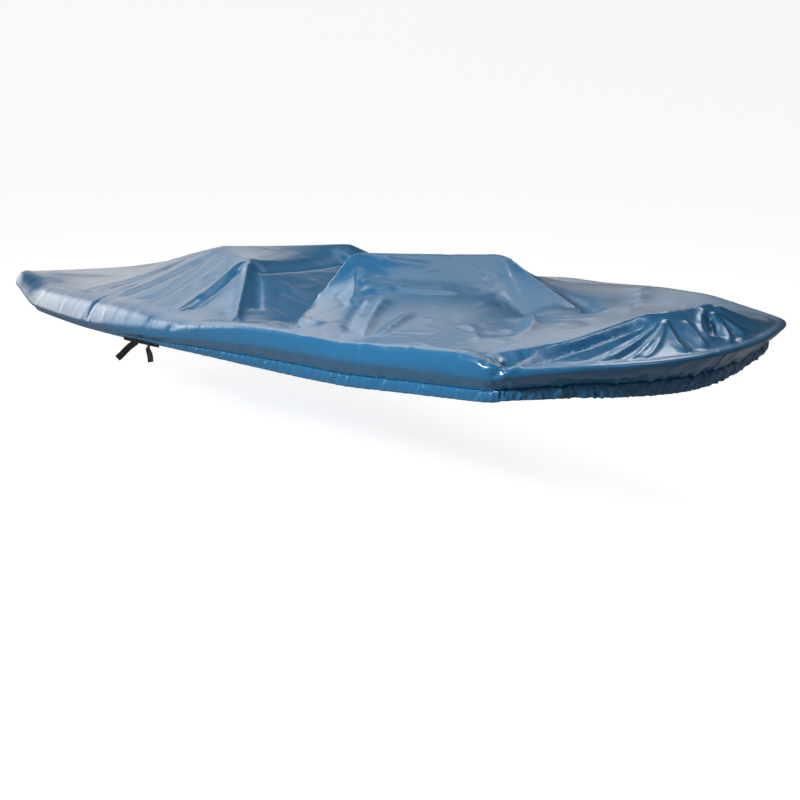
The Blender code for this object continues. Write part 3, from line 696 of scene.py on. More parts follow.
# %% Folds of the skirt
# x is the run along the rail from the stern's middle by starboard, and y the level times
# LEVEL_SIZE. Heights push the cloth outwards.
SKIRT_FOLDS = [fold_row(*row) for row in [
    # name, run0, down0, run1, down1, bend, high0, high1, wide0, wide1, lean, sharp
    ("roll pinch",       1470,   4, 1500,  36,     0,  -7, -5, 10,  8,   0, 1.4),
    ("roll crease",      2150,  40, 2340,  -4,  0.05,  -5, -5, 10, 12,   0, 1.4),
    ("roll puff",        1560,  16, 2060,  20,     0,   5,  5, 22, 22,   0, 1.8),
    ("rail light one",   3000,  26, 3420,  20,     0,   4,  4,  8,  8,   0, 1.3),
    ("under the light",  3000,  42, 3480,  38,     0,  -3, -3, 12, 12,   0, 1.6),
    ("rail light two",   3420,  52, 3780,  60,     0,   5,  5, 10, 10,   0, 1.4),
    ("rail light three", 3780,  46, 3980,  36,     0,   5,  6,  9, 10,   0, 1.3),
    ("corner pucker",    3900,  18, 3990,  26,     0,   6,  4,  8,  8,   0, 1.3),
    ("corner pucker, b", 3880,  30, 3960,  40,     0,  -5, -4,  8,  8,   0, 1.5),
    ("undercut fold",    4120,  90, 4560,  78,  0.02,   7,  5, 14, 12,   0, 1.5),
    ("corner fold",      3925,  78, 3985,  -4,     0, -11, -9,  9, 11,   0, 1.3),
    ("corner lip",       3950,  78, 4020,  -4,     0,   5,  6,  8,  9,   0, 1.3),
    ("undercut fold, b", 4160, 112, 4420,  98,     0,   6,  4, 10, 10,   0, 1.5),
    ("undercut hollow",  4100, 100, 4500,  90,  0.02,  -6, -4, 10, 10,   0, 1.6),
    ("nose diagonal",    4480, 124, 4660,  86, -0.05,   6,  5, 10, 10,   0, 1.4),
    ("nose diagonal, b", 4560, 124, 4720,  96, -0.05,   5,  5,  9,  9,   0, 1.4),
    ("nose diagonal, c", 4860, 120, 4960,  70,  0.05,   5,  5, 10, 10,   0, 1.4),
    ("nose seam",        4770,  70, 4775, 160,     0,   3,  3,  5,  5, 0.5, 1.2),
]]


# Small folds in random places. Their heights in metres are spreads of a bell curve.
ROLL_CREASES, ROLL_HIGH = 260, 0.0007
UNDER_CREASES, UNDER_HIGH, UNDER_BOW_HIGH = 260, 0.0009, 0.0032
RUFFLES, RUFFLE_HIGH, RUFFLE_BOW_HIGH = 420, 0.0015, 0.0038
SLANT_STARBOARD, SLANT_PORT = 2.45, 0.7   # radians from the rail, under it
BOW_SKIRT_RUN = 3.88     # run along the rail at which the bow's own skirt starts
creases = np.random.default_rng(11)


def skirt_creases():
    """Small folds on the rail's roll, slanting ones under the rail and short ones in the hem."""
    rows = []

    def add(along, down, long, angle, high, wide, sharp):
        bend = creases.normal(0, 0.12)
        rows.append(crease_row(along, down, long, angle, bend, high, wide, wide * 0.8, sharp))

    def at_bow(along):
        return min(along, TOTAL - along) > BOW_SKIRT_RUN

    for _ in range(ROLL_CREASES):
        high = creases.normal(0, 1) * ROLL_HIGH
        add(creases.uniform(0, TOTAL), creases.uniform(0.0, 0.06), creases.uniform(0.015, 0.05),
            creases.uniform(0, math.pi), high, creases.uniform(0.006, 0.012), 1.6)
    for _ in range(UNDER_CREASES):
        along = creases.uniform(2.3, TOTAL - 2.3)
        slant = SLANT_STARBOARD if along < TOTAL / 2 else SLANT_PORT
        high = creases.normal(0, 1) * (UNDER_BOW_HIGH if at_bow(along) else UNDER_HIGH)
        add(along, creases.uniform(0.088, 0.128), creases.uniform(0.03, 0.07),
            slant + creases.normal(0, 0.3), high, creases.uniform(0.005, 0.010), 1.4)
    for _ in range(RUFFLES):
        along = creases.uniform(2.2, TOTAL - 2.2)
        high = creases.normal(0.2, 1) * (RUFFLE_BOW_HIGH if at_bow(along) else RUFFLE_HIGH)
        add(along, creases.uniform(0.130, 0.165), creases.uniform(0.03, 0.06),
            creases.normal(1.57, 0.40), high, creases.uniform(0.003, 0.008), 1.3)
    return rows


def ring_at(level):
    """One ring's points and its outward normals, at a level from 0, the crest, to 1, the hem."""
    inset_part, wall_part, roll_part, tuck_part, drop_part = smooth_rows(PROFILE, [level])[0]
    inward_by = inset_part * sizes["inset"] + tuck_part * sizes["tuck"]
    z = (sizes["rail"] + wall_part * sizes["wall"] - drop_part * sizes["drop"]
         + roll_part * (sizes["crest"] - sizes["wall"]))
    return np.c_[plan + inward * inward_by[:, None], z]


def skirt_rings(levels):
    """Rings at the levels, with folds and gathers pushed out along the cloth's normals."""
    rings = np.array([ring_at(level) for level in levels])
    down = np.gradient(rings, axis=0)
    along = np.roll(rings, -1, 1) - np.roll(rings, 1, 1)
    normal = np.cross(down, along)
    normal /= np.linalg.norm(normal, axis=2)[:, :, None] + 1e-12
    outward = np.r_[-inward.T, np.zeros((1, len(plan)))].T
    normal *= np.sign((normal * outward).sum(2).mean(1))[:, None, None]
    at = np.stack(np.broadcast_arrays(run[None], (levels * LEVEL_SIZE)[:, None]), -1)
    at = at.reshape(-1, 2)
    rows = SKIRT_FOLDS + skirt_creases()
    push = sum(fold_height(at, row) for row in rows).reshape(len(levels), -1)
    ruffle = sizes["ruffle"] * np.interp(side_run, [BOW_RUN, BOW_RUN + 0.4], [0.34, 0.60])
    under = np.clip(sizes["ruffle"] / FULL_RUFFLE, 0, 1)
    for k, level in enumerate(levels):
        grow = max(level - GATHER_LEVEL, 0) / (STITCH_LEVEL - GATHER_LEVEL)
        below = max(level - STITCH_LEVEL, 0) / (1 - STITCH_LEVEL)
        grow = min(grow, 1) ** 1.4
        fine = 0.40 * grow + 0.60 * math.sqrt(below)
        push[k] += ruffle * grow * 0.50 * gathers(0.4, 0.5, 1.2 * level)
        push[k] += ruffle * fine * gathers(1.7, 1.0, 3.5 * level)
        push[k] += under * PUFF * math.sin(math.pi * min(below, 1) ** 0.7)
        push[k] -= under * PINCH * math.exp(-((level - STITCH_LEVEL) / PINCH_LEVELS) ** 2)
        rings[k, :, 2] += 0.35 * below * ruffle * gathers(2.9, 0.5)
    rings += normal * push[:, :, None]
    return rings, normal


# %% [markdown]
# ## Small creases
# A coated cloth that was folded for its bag keeps many small creases. They are made as a few
# hundred short folds in random places, each turned roughly towards the nearest point that
# pulls on the cloth. The seed is fixed, so the cloth is the same each time.

# %% Random creases
PULLS = np.array([(-0.74, -0.22), (-0.45, -0.27), (0.17, -0.22), (0.47, 0.22), (1.53, 0.05),
                  (1.52, 0.27), (1.50, -0.60), (-0.52, 0.60), (0.38, 0.62), (-1.75, -0.55),
                  (-1.75, 0.55), (1.48, 0.55)])
CREASES, CREASE_HIGH = 760, 0.0014


def random_folds(count):
    """Rows of short folds all over the top, in the same columns as its own."""
    rows = []
    for _ in range(count):
        x, y = creases.uniform(-1.75, 1.72), creases.uniform(-0.66, 0.66)
        gaps = np.linalg.norm(PULLS - (x, y), axis=1)
        pull = PULLS[gaps.argmin()]
        angle = math.atan2(pull[1] - y, pull[0] - x) + creases.normal(0, 0.5)
        long = creases.uniform(0.05, 0.20)
        high = creases.normal(0, 1) * CREASE_HIGH
        wide = creases.uniform(0.007, 0.015)
        bend = creases.normal(0, 0.08)
        sharp = creases.uniform(1.2, 1.8)
        rows.append(crease_row(x, y, long, angle, bend, high, wide, wide, sharp))
    return rows


# %% Build the cloth above the stitches
def add_object(name, data):
    """A new object with this data, linked into the scene."""
    item = bpy.data.objects.new(name, data)
    bpy.context.scene.collection.objects.link(item)
    return item


def mesh_object(name, points, faces):
    mesh = bpy.data.meshes.new(name)
    mesh.from_pydata([tuple(p) for p in points], [], [tuple(int(i) for i in f) for f in faces])
    mesh.validate()
    mesh.shade_smooth()
    return add_object(name, mesh)


def ring_faces(first, second):
    """Two triangles between each pair of vertices of two rings, facing outwards."""
    faces = []
    for i in range(len(first)):
        j = (i + 1) % len(first)
        faces += [(first[i], second[i], second[j]), (first[i], second[j], first[j])]
    return faces


def crest_fade(points, rim_points, reach):
    """0 on the crest, 1 further inboard than reach."""
    gap = np.full(len(points), np.inf)
    for start in range(0, len(points), BATCH):
        away = points[start:start + BATCH, None, :] - rim_points[None, ::3]
        gap[start:start + BATCH] = np.hypot(away[..., 0], away[..., 1]).min(1)
    return soft_step(np.clip(gap / reach, 0, 1))


hem_levels = np.linspace(STITCH_LEVEL, 1, HEM_RINGS + 1)
skirt, skirt_normal = skirt_rings(np.r_[LEVELS, hem_levels[1:]])
cover_rings = skirt[:len(LEVELS), ::COVER_STEP]
top_plan, top_z, top_triangles, crest_ids, rim = build_top(cover_rings[0])
print("top", len(top_plan), "vertices", len(top_triangles), "triangles")

CREST_REACH = 0.028      # the folds of the top fade out over this much, towards the rail
PATH_STEP = 0.012        # step along a fold that bends
relief = sum(fold_height(top_plan, row) for row in TOP_FOLDS)
relief += sum(line_height(top_plan, even_path(round_path(path), PATH_STEP), *shape, fade=FAN_FADE)
              for _, path, *shape in FAN_FOLDS)
relief += sum(fold_height(top_plan, row) for row in random_folds(CREASES))
relief *= crest_fade(top_plan, cover_rings[0][:, :2], CREST_REACH)
top_z = round_off(top_plan, top_triangles, top_z + relief, rim, FOLD_SOFTEN)
top_points = np.c_[top_plan, top_z]

points = [top_points]
faces = [top_triangles]
last = np.array(crest_ids)
count = len(top_points)
for ring in cover_rings[1:]:
    ids = np.arange(count, count + len(ring))
    points.append(ring)
    faces.append(ring_faces(last, ids))
    count += len(ring)
    last = ids
cover = mesh_object("cover_cloth", np.vstack(points), np.vstack(faces))
print("cover", len(cover.data.vertices), "vertices", len(cover.data.polygons), "triangles a side")

# %% [markdown]
# ## Materials
# Colours are written as the sRGB hex values of a colour picker, and one function turns them
# into the linear values that the shader works in. One more adds a node with its settings and
# links.

# %% Material helpers
def linear(colour):
    parts = [int(colour[k:k + 2], 16) / 255 for k in (0, 2, 4)]
    return (*[v / 12.92 if v <= 0.04045 else ((v + 0.055) / 1.055) ** 2.4 for v in parts], 1)


def add_node(tree, kind, links=None, values=None, **settings):
    """A node of one kind, with its settings, its sockets' values and the sockets that feed it."""
    node = tree.nodes.new(kind)
    for name, value in settings.items():
        setattr(node, name, value)
    for name, value in (values or {}).items():
        node.inputs[name].default_value = value
    for name, source in (links or {}).items():
        tree.links.new(source, node.inputs[name])
    return node


def new_material(name):
    material = bpy.data.materials.new(name)
    material.use_nodes = True
    return material, material.node_tree, material.node_tree.nodes["Principled BSDF"]


# %% [markdown]
# ## Coated polyester
# A woven polyester scrim with a glossy PVC coat. The scrim's threads telegraph through the
# coat as a fine grid, about 3 mm apart on this cloth, and the coat gives a broad grey sheen
# with a few sharp lights on top.

# %% PVC-coated polyester
def coated_polyester():
    material, tree, shader = new_material("PVC-coated polyester")
    place = add_node(tree, "ShaderNodeTexCoord")
    cloth = add_node(tree, "ShaderNodeUVMap", uv_map="cloth")
    shade = add_node(tree, "ShaderNodeTexNoise", {"Vector": place.outputs["Object"]},
                     {"Scale": 3.0, "Detail": 3.0, "Roughness": 0.6})
    tint = add_node(tree, "ShaderNodeMix", {"Factor": shade.outputs["Fac"]}, data_type="RGBA")
    tint.inputs["A"].default_value = linear("2274A6")
    tint.inputs["B"].default_value = linear("2A7DB2")
    tree.links.new(tint.outputs["Result"], shader.inputs["Base Color"])
    shader.inputs["Roughness"].default_value = 0.31
    shader.inputs["Coat Weight"].default_value = 0.8
    shader.inputs["Coat Roughness"].default_value = 0.17
    threads = [add_node(tree, "ShaderNodeTexWave", {"Vector": cloth.outputs["UV"]},
                        {"Scale": 55.0}, wave_type="BANDS", bands_direction=axis,
                        wave_profile="SIN").outputs["Fac"] for axis in "XY"]
    scrim = add_node(tree, "ShaderNodeMath", dict(enumerate(threads)), operation="ADD")
    weave = add_node(tree, "ShaderNodeBump", {"Height": scrim.outputs["Value"]},
                     {"Strength": 0.35, "Distance": 0.0004})
    crumple = add_node(tree, "ShaderNodeTexNoise", {"Vector": place.outputs["Object"]},
                       {"Scale": 8.0, "Detail": 4.0, "Roughness": 0.55, "Distortion": 1.0},
                       noise_type="RIDGED_MULTIFRACTAL")
    bump = add_node(tree, "ShaderNodeBump", {"Height": crumple.outputs["Fac"],
                                             "Normal": weave.outputs["Normal"]},
                    {"Strength": 0.34, "Distance": 0.020})
    tree.links.new(bump.outputs["Normal"], shader.inputs["Normal"])
    return material


coated = coated_polyester()

# %% Finish the cloth
SIDES_X = 1.45           # between this aft and forward the skirt faces the sides


def cloth_uv(piece, top_faces):
    """UV in metres: the plan on the top, the run and the height on the skirt."""
    layer = piece.data.uv_layers.new(name="cloth")
    corners = np.array([loop.vertex_index for loop in piece.data.loops])
    places = np.array([v.co[:] for v in piece.data.vertices])[corners]
    uv = places[:, :2].copy()
    skirt_corner = np.arange(len(corners)) >= 3 * top_faces
    uv[skirt_corner, 0] = np.where(np.abs(places[skirt_corner, 0]) < SIDES_X,
                                   places[skirt_corner, 0], places[skirt_corner, 1])
    uv[skirt_corner, 1] = places[skirt_corner, 2]
    layer.data.foreach_set("uv", uv.ravel())


def lay_uv(piece, uv):
    """Lays a UV place for each vertex on the piece."""
    corners = [loop.vertex_index for loop in piece.data.loops]
    piece.data.uv_layers.new(name="cloth").data.foreach_set("uv", uv[corners].ravel())


def thicken(piece):
    """Gives the cloth its thickness, inwards."""
    shell = piece.modifiers.new("cloth", "SOLIDIFY")
    shell.thickness = CLOTH
    shell.offset = -1.0
    shell.use_even_offset = False
    shell.use_rim = True
    shell.use_quality_normals = True


cloth_uv(cover, len(top_triangles))
thicken(cover)
cover.data.materials.append(coated)
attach(cover, "root")
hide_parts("cover")

# The hem's upper edge runs straight between the cover's vertices, so that no gap shows.
hem_rings = skirt[len(LEVELS) - 1:].copy()
shared = hem_rings[0, ::COVER_STEP]
hem_rings[0, 1::COVER_STEP] = (shared + np.roll(shared, -1, 0)) / 2
hem_points = np.vstack(list(hem_rings))
ring = np.arange(len(plan))
hem_faces = [ring_faces(ring + k * len(plan), ring + (k + 1) * len(plan))
             for k in range(len(hem_rings) - 1)]
hem = mesh_object("cover_hem", hem_points, np.vstack(hem_faces))
cloth_uv(hem, 0)
thicken(hem)
hem.data.materials.append(coated)
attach(hem, "root")

# %% [markdown]
# ## Webbing tie
# A webbing band is sewn along the hem on the starboard side, and two free ends hang from it.
# Each strap is swept along rows of a table: how far along the rail, how far out from the hem
# and how far down, with its width and the two angles of its face in degrees.

# %% Webbing straps
TIE = {
    # rows of run, out, down, width, face, tip
    "tie_band": [
        (1.790, 0.0004, 0.001, 0.014, 0, 12),
        (1.845, 0.0005, 0.001, 0.015, 0, 12),
        (1.900, 0.0006, 0.000, 0.016, 0, 12),
        (1.955, 0.0006, 0.000, 0.016, 0, 12),
        (2.010, 0.0005, 0.001, 0.015, 0, 12),
        (2.065, 0.0004, 0.001, 0.014, 0, 12),
    ],
    "tie_tail_aft": [
        (1.905, 0.0034, 0.002, 0.020, 10, 14),
        (1.885, 0.0190, 0.016, 0.025, 30, 10),
        (1.865, 0.0300, 0.034, 0.025, 45, 0),
        (1.847, 0.0390, 0.052, 0.025, 50, 0),
        (1.832, 0.0510, 0.068, 0.025, 55, 0),
    ],
    "tie_tail_fore": [
        (1.995, 0.0033, 0.002, 0.018, 20, 14),
        (2.010, 0.0150, 0.020, 0.021, 40, 10),
        (2.022, 0.0150, 0.040, 0.022, 50, 0),
        (2.030, 0.0170, 0.064, 0.022, 45, 0),
    ],
}
TIE_THICK = 0.0018       # webbing
TIE_CLEAR = 0.0012       # room left for the hem's own folds
STRAP_STEPS = 60         # rows along a strap
STRAP_ACROSS = 9         # vertices across each face of it


def strap(name, aside=0.0):
    """A strap's mesh points, faces and UV, and the line at a share aside of its half width."""
    keyed = [(k, *row) for k, row in enumerate(TIE[name])]
    rows = smooth_rows(keyed, np.linspace(0, len(keyed) - 1, STRAP_STEPS))
    hem_ring = ring_at(1.0)
    half = len(hem_ring) // 2
    place = np.c_[[np.interp(rows[:, 0], run[:half], hem_ring[:half, k]) for k in range(3)]].T
    side = -np.c_[[np.interp(rows[:, 0], run[:half], inward[:half, k]) for k in range(2)]].T
    side = np.c_[side, np.zeros(len(side))]
    up = np.array([0, 0, 1.0])
    middle = place + side * (rows[:, 1:2] + TIE_CLEAR) - up * rows[:, 2:3]
    path = np.gradient(middle, axis=0)
    path /= np.linalg.norm(path, axis=1)[:, None]
    turn, tip = np.radians(rows[:, 4:5]), np.radians(rows[:, 5:6])
    turned = side * np.cos(turn) + np.cross(up, side) * np.sin(turn)
    look = turned * np.cos(tip) - up * np.sin(tip)
    wide = np.cross(path, look)
    wide /= np.linalg.norm(wide, axis=1)[:, None]
    face = np.cross(wide, path)
    across = np.linspace(-1, 1, STRAP_ACROSS)
    edge = np.sqrt(np.clip(1 - np.abs(across) ** 10, 0.02, 1)) * TIE_THICK / 2
    loop = np.r_[np.c_[across, -edge], np.c_[across, edge][::-1]]
    centre = middle + face * TIE_THICK / 2
    points = (centre[:, None] + wide[:, None] * loop[None, :, :1] * rows[:, 3, None, None] / 2
              + face[:, None] * loop[None, :, 1:])
    size = len(loop)
    faces = [tuple(range(size - 1, -1, -1)),
             tuple(range((STRAP_STEPS - 1) * size, STRAP_STEPS * size))]
    for k in range(STRAP_STEPS - 1):
        for c in range(size):
            d = (c + 1) % size
            faces.append((k * size + c, k * size + d, (k + 1) * size + d, (k + 1) * size + c))
    along = np.r_[0, np.cumsum(np.linalg.norm(np.diff(middle, axis=0), axis=1))]
    out = loop[None, :, 0] * rows[:, 3, None] / 2
    uv = np.stack(np.broadcast_arrays(along[:, None], out), -1)
    line = centre + wide * aside * rows[:, 3:4] / 2 + face * TIE_THICK / 2
    return points.reshape(-1, 3), faces, uv.reshape(-1, 2), line


def woven_webbing():
    """Black polypropylene webbing: ribs across the strap, staggered from one warp to the next."""
    material, tree, shader = new_material("black polypropylene webbing")
    shader.inputs["Base Color"].default_value = linear("18181A")
    shader.inputs["Roughness"].default_value = 0.62
    cloth = add_node(tree, "ShaderNodeUVMap", uv_map="cloth")
    weave = add_node(tree, "ShaderNodeTexBrick", {"Vector": cloth.outputs["UV"]},
                     {"Scale": 1.0, "Brick Width": 0.0034, "Row Height": 0.0017,
                      "Mortar Size": 0.0004, "Mortar Smooth": 1.0}, offset=0.5)
    for name, grey in (("Color1", 1), ("Color2", 1), ("Mortar", 0)):
        weave.inputs[name].default_value = (grey, grey, grey, 1)
    bump = add_node(tree, "ShaderNodeBump", {"Height": weave.outputs["Color"]},
                    {"Strength": 0.8, "Distance": 0.0005})
    tree.links.new(bump.outputs["Normal"], shader.inputs["Normal"])
    return material


webbing = woven_webbing()
for name in TIE:
    strap_points, strap_faces, strap_uv, strap_line = strap(name)
    piece = mesh_object(name + "_webbing", strap_points, strap_faces)
    lay_uv(piece, strap_uv)
    piece.data.materials.append(webbing)
    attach(piece, "root")
    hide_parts(name)

# %% [markdown]
# ## Seam and stitches
# A tape covers the seam that runs down from the bow's nose. A Geometry Nodes tree lays the
# stitches: it follows a line of edges, sets points along it at the stitch's pitch and puts a
# short piece of thread at each, along the line.

# %% Seam tape
SEAM_RUN = 4.700         # place of the bow's seam along the rail
SEAM_LEAN = 0.010        # how far it leans aft on its way down
SEAM_TOP, SEAM_END = 0.20, 0.985     # levels between which it runs
SEAM_WIDE, SEAM_STEPS = 0.012, 60    # the tape's width, and its rows
TAPE_LIFT = 0.0012       # how far the tape's middle stands off the cloth
all_levels = np.r_[LEVELS, hem_levels[1:]]


def skirt_points(runs, downs, lift):
    """Points on the skirt at runs and levels, lifted off the cloth by lift."""
    k = np.clip(np.searchsorted(all_levels, downs, "right") - 1, 0, len(all_levels) - 2)
    t = ((downs - all_levels[k]) / (all_levels[k + 1] - all_levels[k]))[:, None]
    at = np.asarray(runs) / TOTAL * RAIL_POINTS
    i = np.floor(at).astype(int) % RAIL_POINTS
    j, u = (i + 1) % RAIL_POINTS, (at - np.floor(at))[:, None]

    def blend(grid):
        upper = grid[k, i] * (1 - u) + grid[k, j] * u
        lower = grid[k + 1, i] * (1 - u) + grid[k + 1, j] * u
        return upper * (1 - t) + lower * t

    return blend(skirt) + blend(skirt_normal) * lift


seam_levels = np.linspace(SEAM_TOP, SEAM_END, SEAM_STEPS)
seam_run = SEAM_RUN - SEAM_LEAN * (seam_levels - SEAM_TOP)
# places across the tape, as shares of its width, and the lift off the cloth at each
TAPE = ((-0.50, 0.0002), (-0.44, 0.0011), (-0.2, TAPE_LIFT), (0.0, TAPE_LIFT), (0.2, TAPE_LIFT),
        (0.44, 0.0011), (0.50, 0.0002))
tape_columns = [skirt_points(seam_run + SEAM_WIDE * side, seam_levels, lift)
                for side, lift in TAPE]
tape_points = np.stack(tape_columns, 1).reshape(-1, 3)
wide = len(tape_columns)
tape_faces = [(k * wide + c, (k + 1) * wide + c, (k + 1) * wide + c + 1, k * wide + c + 1)
              for k in range(len(seam_levels) - 1) for c in range(wide - 1)]
tape = mesh_object("cover_bow_seam", tape_points, tape_faces)
lay_uv(tape, tape_points[:, 1:])
shell = tape.modifiers.new("tape", "SOLIDIFY")
shell.thickness, shell.offset = 0.0006, -1.0
tape.data.materials.append(coated)
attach(tape, "root")

# %% Stitches
THREAD = 0.0009          # thread's diameter
# pitch and length of the stitches: long along the hem, short on the seam and the webbing
HEM_STITCH, SEAM_STITCH = (0.0062, 0.0042), (0.0050, 0.0034)
SEAM_ROWS, BAND_ROWS = 0.33, 0.7     # rows off the middle: share of the tape, of half the band


def stitch_group():
    """The tree that turns edges into a row of stitches."""
    tree = bpy.data.node_groups.new("stitches along a line", "GeometryNodeTree")
    face = tree.interface
    face.new_socket("Geometry", in_out="INPUT", socket_type="NodeSocketGeometry")
    for name, value in (("Pitch", 0.006), ("Length", 0.004), ("Thread", THREAD)):
        face.new_socket(name, in_out="INPUT", socket_type="NodeSocketFloat").default_value = value
    face.new_socket("Material", in_out="INPUT", socket_type="NodeSocketMaterial")
    face.new_socket("Geometry", in_out="OUTPUT", socket_type="NodeSocketGeometry")
    given = tree.nodes.new("NodeGroupInput")
    line = add_node(tree, "GeometryNodeMeshToCurve", {"Mesh": given.outputs["Geometry"]})
    even = add_node(tree, "GeometryNodeResampleCurve",
                    {"Curve": line.outputs["Curve"], "Length": given.outputs["Pitch"]},
                    mode="LENGTH")
    radius = add_node(tree, "ShaderNodeMath", {0: given.outputs["Thread"]}, {1: 0.5},
                      operation="MULTIPLY")
    dash = add_node(tree, "GeometryNodeMeshCylinder",
                    {"Radius": radius.outputs["Value"], "Depth": given.outputs["Length"]},
                    {"Vertices": 6})
    tangent = tree.nodes.new("GeometryNodeInputTangent")
    aim = add_node(tree, "FunctionNodeAlignRotationToVector",
                   {"Vector": tangent.outputs["Tangent"]}, axis="Z")
    placed = add_node(tree, "GeometryNodeInstanceOnPoints",
                      {"Points": even.outputs["Curve"], "Instance": dash.outputs["Mesh"],
                       "Rotation": aim.outputs["Rotation"]})
    real = add_node(tree, "GeometryNodeRealizeInstances",
                    {"Geometry": placed.outputs["Instances"]})
    painted = add_node(tree, "GeometryNodeSetMaterial",
                       {"Geometry": real.outputs["Geometry"],
                        "Material": given.outputs["Material"]})
    result = tree.nodes.new("NodeGroupOutput")
    tree.links.new(painted.outputs["Geometry"], result.inputs["Geometry"])
    return tree


def stitched(name, lines, stitch, material):
    """A plain mesh of stitches along open or closed lines of points."""
    pitch, long = stitch
    points, edges = [], []
    for line, closed in lines:
        first = len(points)
        points += [tuple(p) for p in line]
        edges += [(k, k + 1) for k in range(first, len(points) - 1)]
        edges += [(len(points) - 1, first)] if closed else []
    mesh = bpy.data.meshes.new(name + "_line")
    mesh.from_pydata(points, edges, [])
    guide = add_object(name + "_line", mesh)
    nodes = guide.modifiers.new("stitches", "NODES")
    nodes.node_group = stitches
    named = {item.name: item.identifier for item in stitches.interface.items_tree
             if item.in_out == "INPUT"}
    for label, value in (("Pitch", pitch), ("Length", long), ("Material", material)):
        nodes[named[label]] = value
    plain = bpy.data.meshes.new_from_object(
        guide.evaluated_get(bpy.context.evaluated_depsgraph_get()))
    bpy.data.objects.remove(guide)
    plain.name = name
    plain.shade_smooth()
    piece = add_object(name, plain)
    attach(piece, "root")
    print(name, len(plain.polygons), "faces")
    return piece


def thread_material(name, colour):
    material, _, shader = new_material(name)
    shader.inputs["Base Color"].default_value = linear(colour)
    shader.inputs["Roughness"].default_value = 0.55
    return material


stitches = stitch_group()
# The blue thread is darker than the cloth. Part of its colour is painted shade, standing in for the
# shadow along the line of stitches.
blue_thread_with_painted_shade = thread_material("blue polyester thread, darkened as painted shade", "1D4E78")
grey_thread = thread_material("charcoal polyester thread", "34353A")
around = np.arange(RAIL_POINTS) * TOTAL / RAIL_POINTS
hem_line = skirt_points(around, np.full(RAIL_POINTS, STITCH_LEVEL), 0.0002)
hem_stitches = stitched("cover_hem_stitches", [(hem_line, True)], HEM_STITCH, blue_thread_with_painted_shade)
seam_lines = [(skirt_points(seam_run + SEAM_WIDE * side, seam_levels, TAPE_LIFT), False)
              for side in (-SEAM_ROWS, SEAM_ROWS)]
seam_stitches = stitched("cover_seam_stitches", seam_lines, SEAM_STITCH, blue_thread_with_painted_shade)
band_lines = [(strap("tie_band", side)[3], False) for side in (-BAND_ROWS, BAND_ROWS)]
band_stitches = stitched("tie_band_stitches", band_lines, SEAM_STITCH, grey_thread)

# %% [markdown]
# ## Studio
# A glossy cloth shows what stands around it, so most of its look is made by the room. The
# world is a dim studio with one pale wall and one window, both towards the stern, and area
# lights put the sharp lights on the seats, on the rail and on the folds of the bow. The floor
# is pale and gives the cloth no light of its own.

# %% Floor
FLOOR_Z, FLOOR_HALF = -0.62, 30
floor_mesh = bpy.data.meshes.new("floor")
floor_corners = [(FLOOR_HALF * x, FLOOR_HALF * y, FLOOR_Z)
                 for x, y in ((-1, -1), (1, -1), (1, 1), (-1, 1))]
floor_mesh.from_pydata(floor_corners, [], [(0, 1, 2, 3)])
floor = add_object("floor", floor_mesh)
floor_material, _, floor_shader = new_material("matt white studio floor")
# The floor glows as a light table does, but neither lights the cloth nor shows in it.
floor_shader.inputs["Base Color"].default_value = linear("EDEDEB")
floor_shader.inputs["Emission Color"].default_value = linear("FFFFFF")
floor_shader.inputs["Emission Strength"].default_value = 0.82
floor_shader.inputs["Roughness"].default_value = 0.9
floor_mesh.materials.append(floor_material)
floor.visible_diffuse = False
floor.visible_glossy = False

# %% World
# A low pale wall and a window stand beyond the stern. The rest is dim, but for some light from
# the ground. to is the direction, spread the cosines over which it fades in, and heights the
# sines over which it fades out upwards.
GROUND, CEILING = 0.24, 0.09
WALL = {"to": Vector((-0.93, 0.28, 0.24)), "spread": (0.82, 0.98), "heights": (0.30, 0.85),
        "bright": 0.92}
WINDOW = {"to": Vector((-0.96, -0.16, 0.12)), "spread": (0.94, 0.98), "bright": 2.3}
WORLD_POWER = 0.80


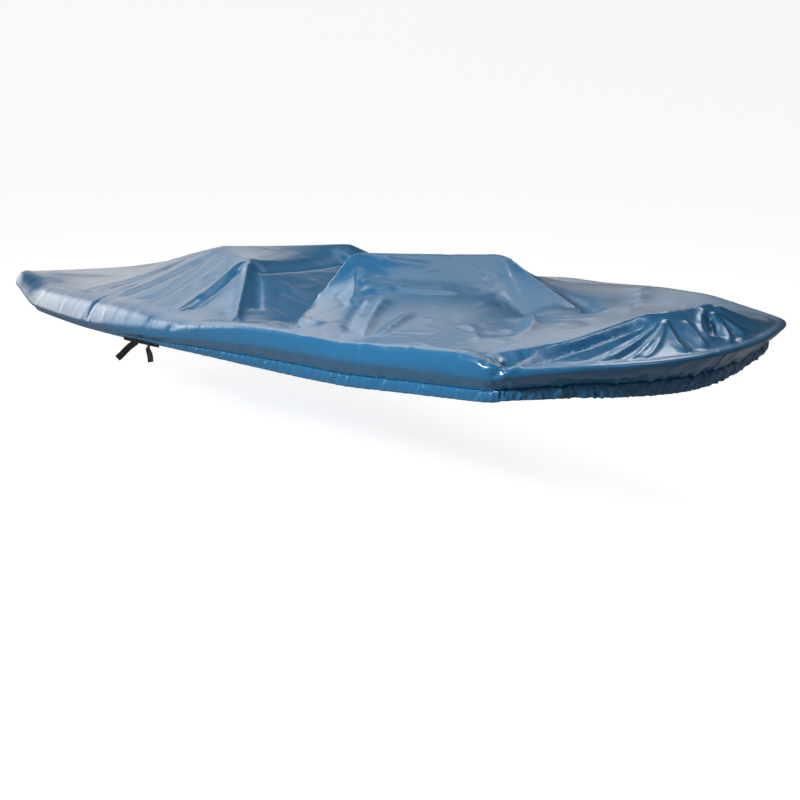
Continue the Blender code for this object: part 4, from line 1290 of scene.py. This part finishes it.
def studio_world():
    world = bpy.data.worlds.new("studio")
    world.use_nodes = True
    tree = world.node_tree
    look = add_node(tree, "ShaderNodeTexCoord").outputs["Generated"]
    height = add_node(tree, "ShaderNodeSeparateXYZ", {"Vector": look}).outputs["Z"]

    def ease(value, low, high, bottom, top):
        node = add_node(tree, "ShaderNodeMapRange", {"Value": value},
                        {"From Min": low, "From Max": high, "To Min": bottom, "To Max": top},
                        interpolation_type="SMOOTHSTEP")
        return node.outputs["Result"]

    def toward(aim):
        node = add_node(tree, "ShaderNodeVectorMath", {0: look}, {1: aim.normalized()},
                        operation="DOT_PRODUCT")
        return node.outputs["Value"]

    def math_node(operation, first, second):
        node = add_node(tree, "ShaderNodeMath", {0: first, 1: second}, operation=operation)
        return node.outputs["Value"]

    room = ease(height, -0.25, 0.05, GROUND, CEILING)
    wall = math_node("MULTIPLY", ease(toward(WALL["to"]), *WALL["spread"], 0, 1),
                     ease(height, *WALL["heights"], WALL["bright"], 0))
    window = ease(toward(WINDOW["to"]), *WINDOW["spread"], 0, WINDOW["bright"])
    total = math_node("ADD", math_node("ADD", room, wall), window)
    colour = add_node(tree, "ShaderNodeCombineXYZ", {"X": total, "Y": total, "Z": total})
    tree.links.new(colour.outputs["Vector"], tree.nodes["Background"].inputs["Color"])
    tree.nodes["Background"].inputs["Strength"].default_value = WORLD_POWER
    return world


bpy.context.scene.world = studio_world()
bpy.context.scene.view_settings.view_transform = "Standard"

# %% Lights
LIGHTS = [
    # name,        place,             target,            wide, tall, watts
    ("seat panel", (-0.85, 1.0, 2.7), (0.5, 0, 0.2),     1.60, 1.3, 7),
    ("aft panel",  (-2.9, 0.1, 2.1),  (-0.5, -0.4, 0),   1.40, 1.1, 6),
    ("front",      (1.2, -3.5, 1.6),  (0.7, -0.6, 0.05), 0.90, 0.5, 100),
    ("long tube",  (0.2, -0.9, 3.2),  (0.6, -0.2, 0),    0.06, 3.4, 9),
    ("bow panel",  (0.05, 1.6, 2.0),  (1.7, -0.15, 0.2), 0.80, 0.5, 6),
    ("bow strip",  (2.6, 0.4, 2.4),   (1.6, 0, 0.2),     0.16, 1.4, 9),
]


def area_light(name, place, target, wide, tall, power):
    data = bpy.data.lights.new(name, "AREA")
    data.shape = "RECTANGLE"
    data.size, data.size_y = wide, tall
    data.energy = power
    lamp = add_object(name, data)
    lamp.location = place
    lamp.rotation_euler = (Vector(target) - Vector(place)).to_track_quat("-Z", "Y").to_euler()


for row in LIGHTS:
    area_light(*row)

# %% Camera
CAMERA_AT = (6.5487, -4.5083, 1.8513)
CAMERA_DOWN = 15.5143    # degrees below the level
CAMERA_TURN = 54.8256    # degrees from looking along +Y, towards -X
CAMERA_LENS = 98.67      # mm, on a sensor 36 mm wide
camera_data = bpy.data.cameras.new("camera")
camera_data.sensor_width = 36
camera_data.lens = CAMERA_LENS
camera = add_object("camera", camera_data)
camera.location = CAMERA_AT
camera.rotation_euler = (math.radians(90 - CAMERA_DOWN), 0, math.radians(CAMERA_TURN))
bpy.context.scene.camera = camera
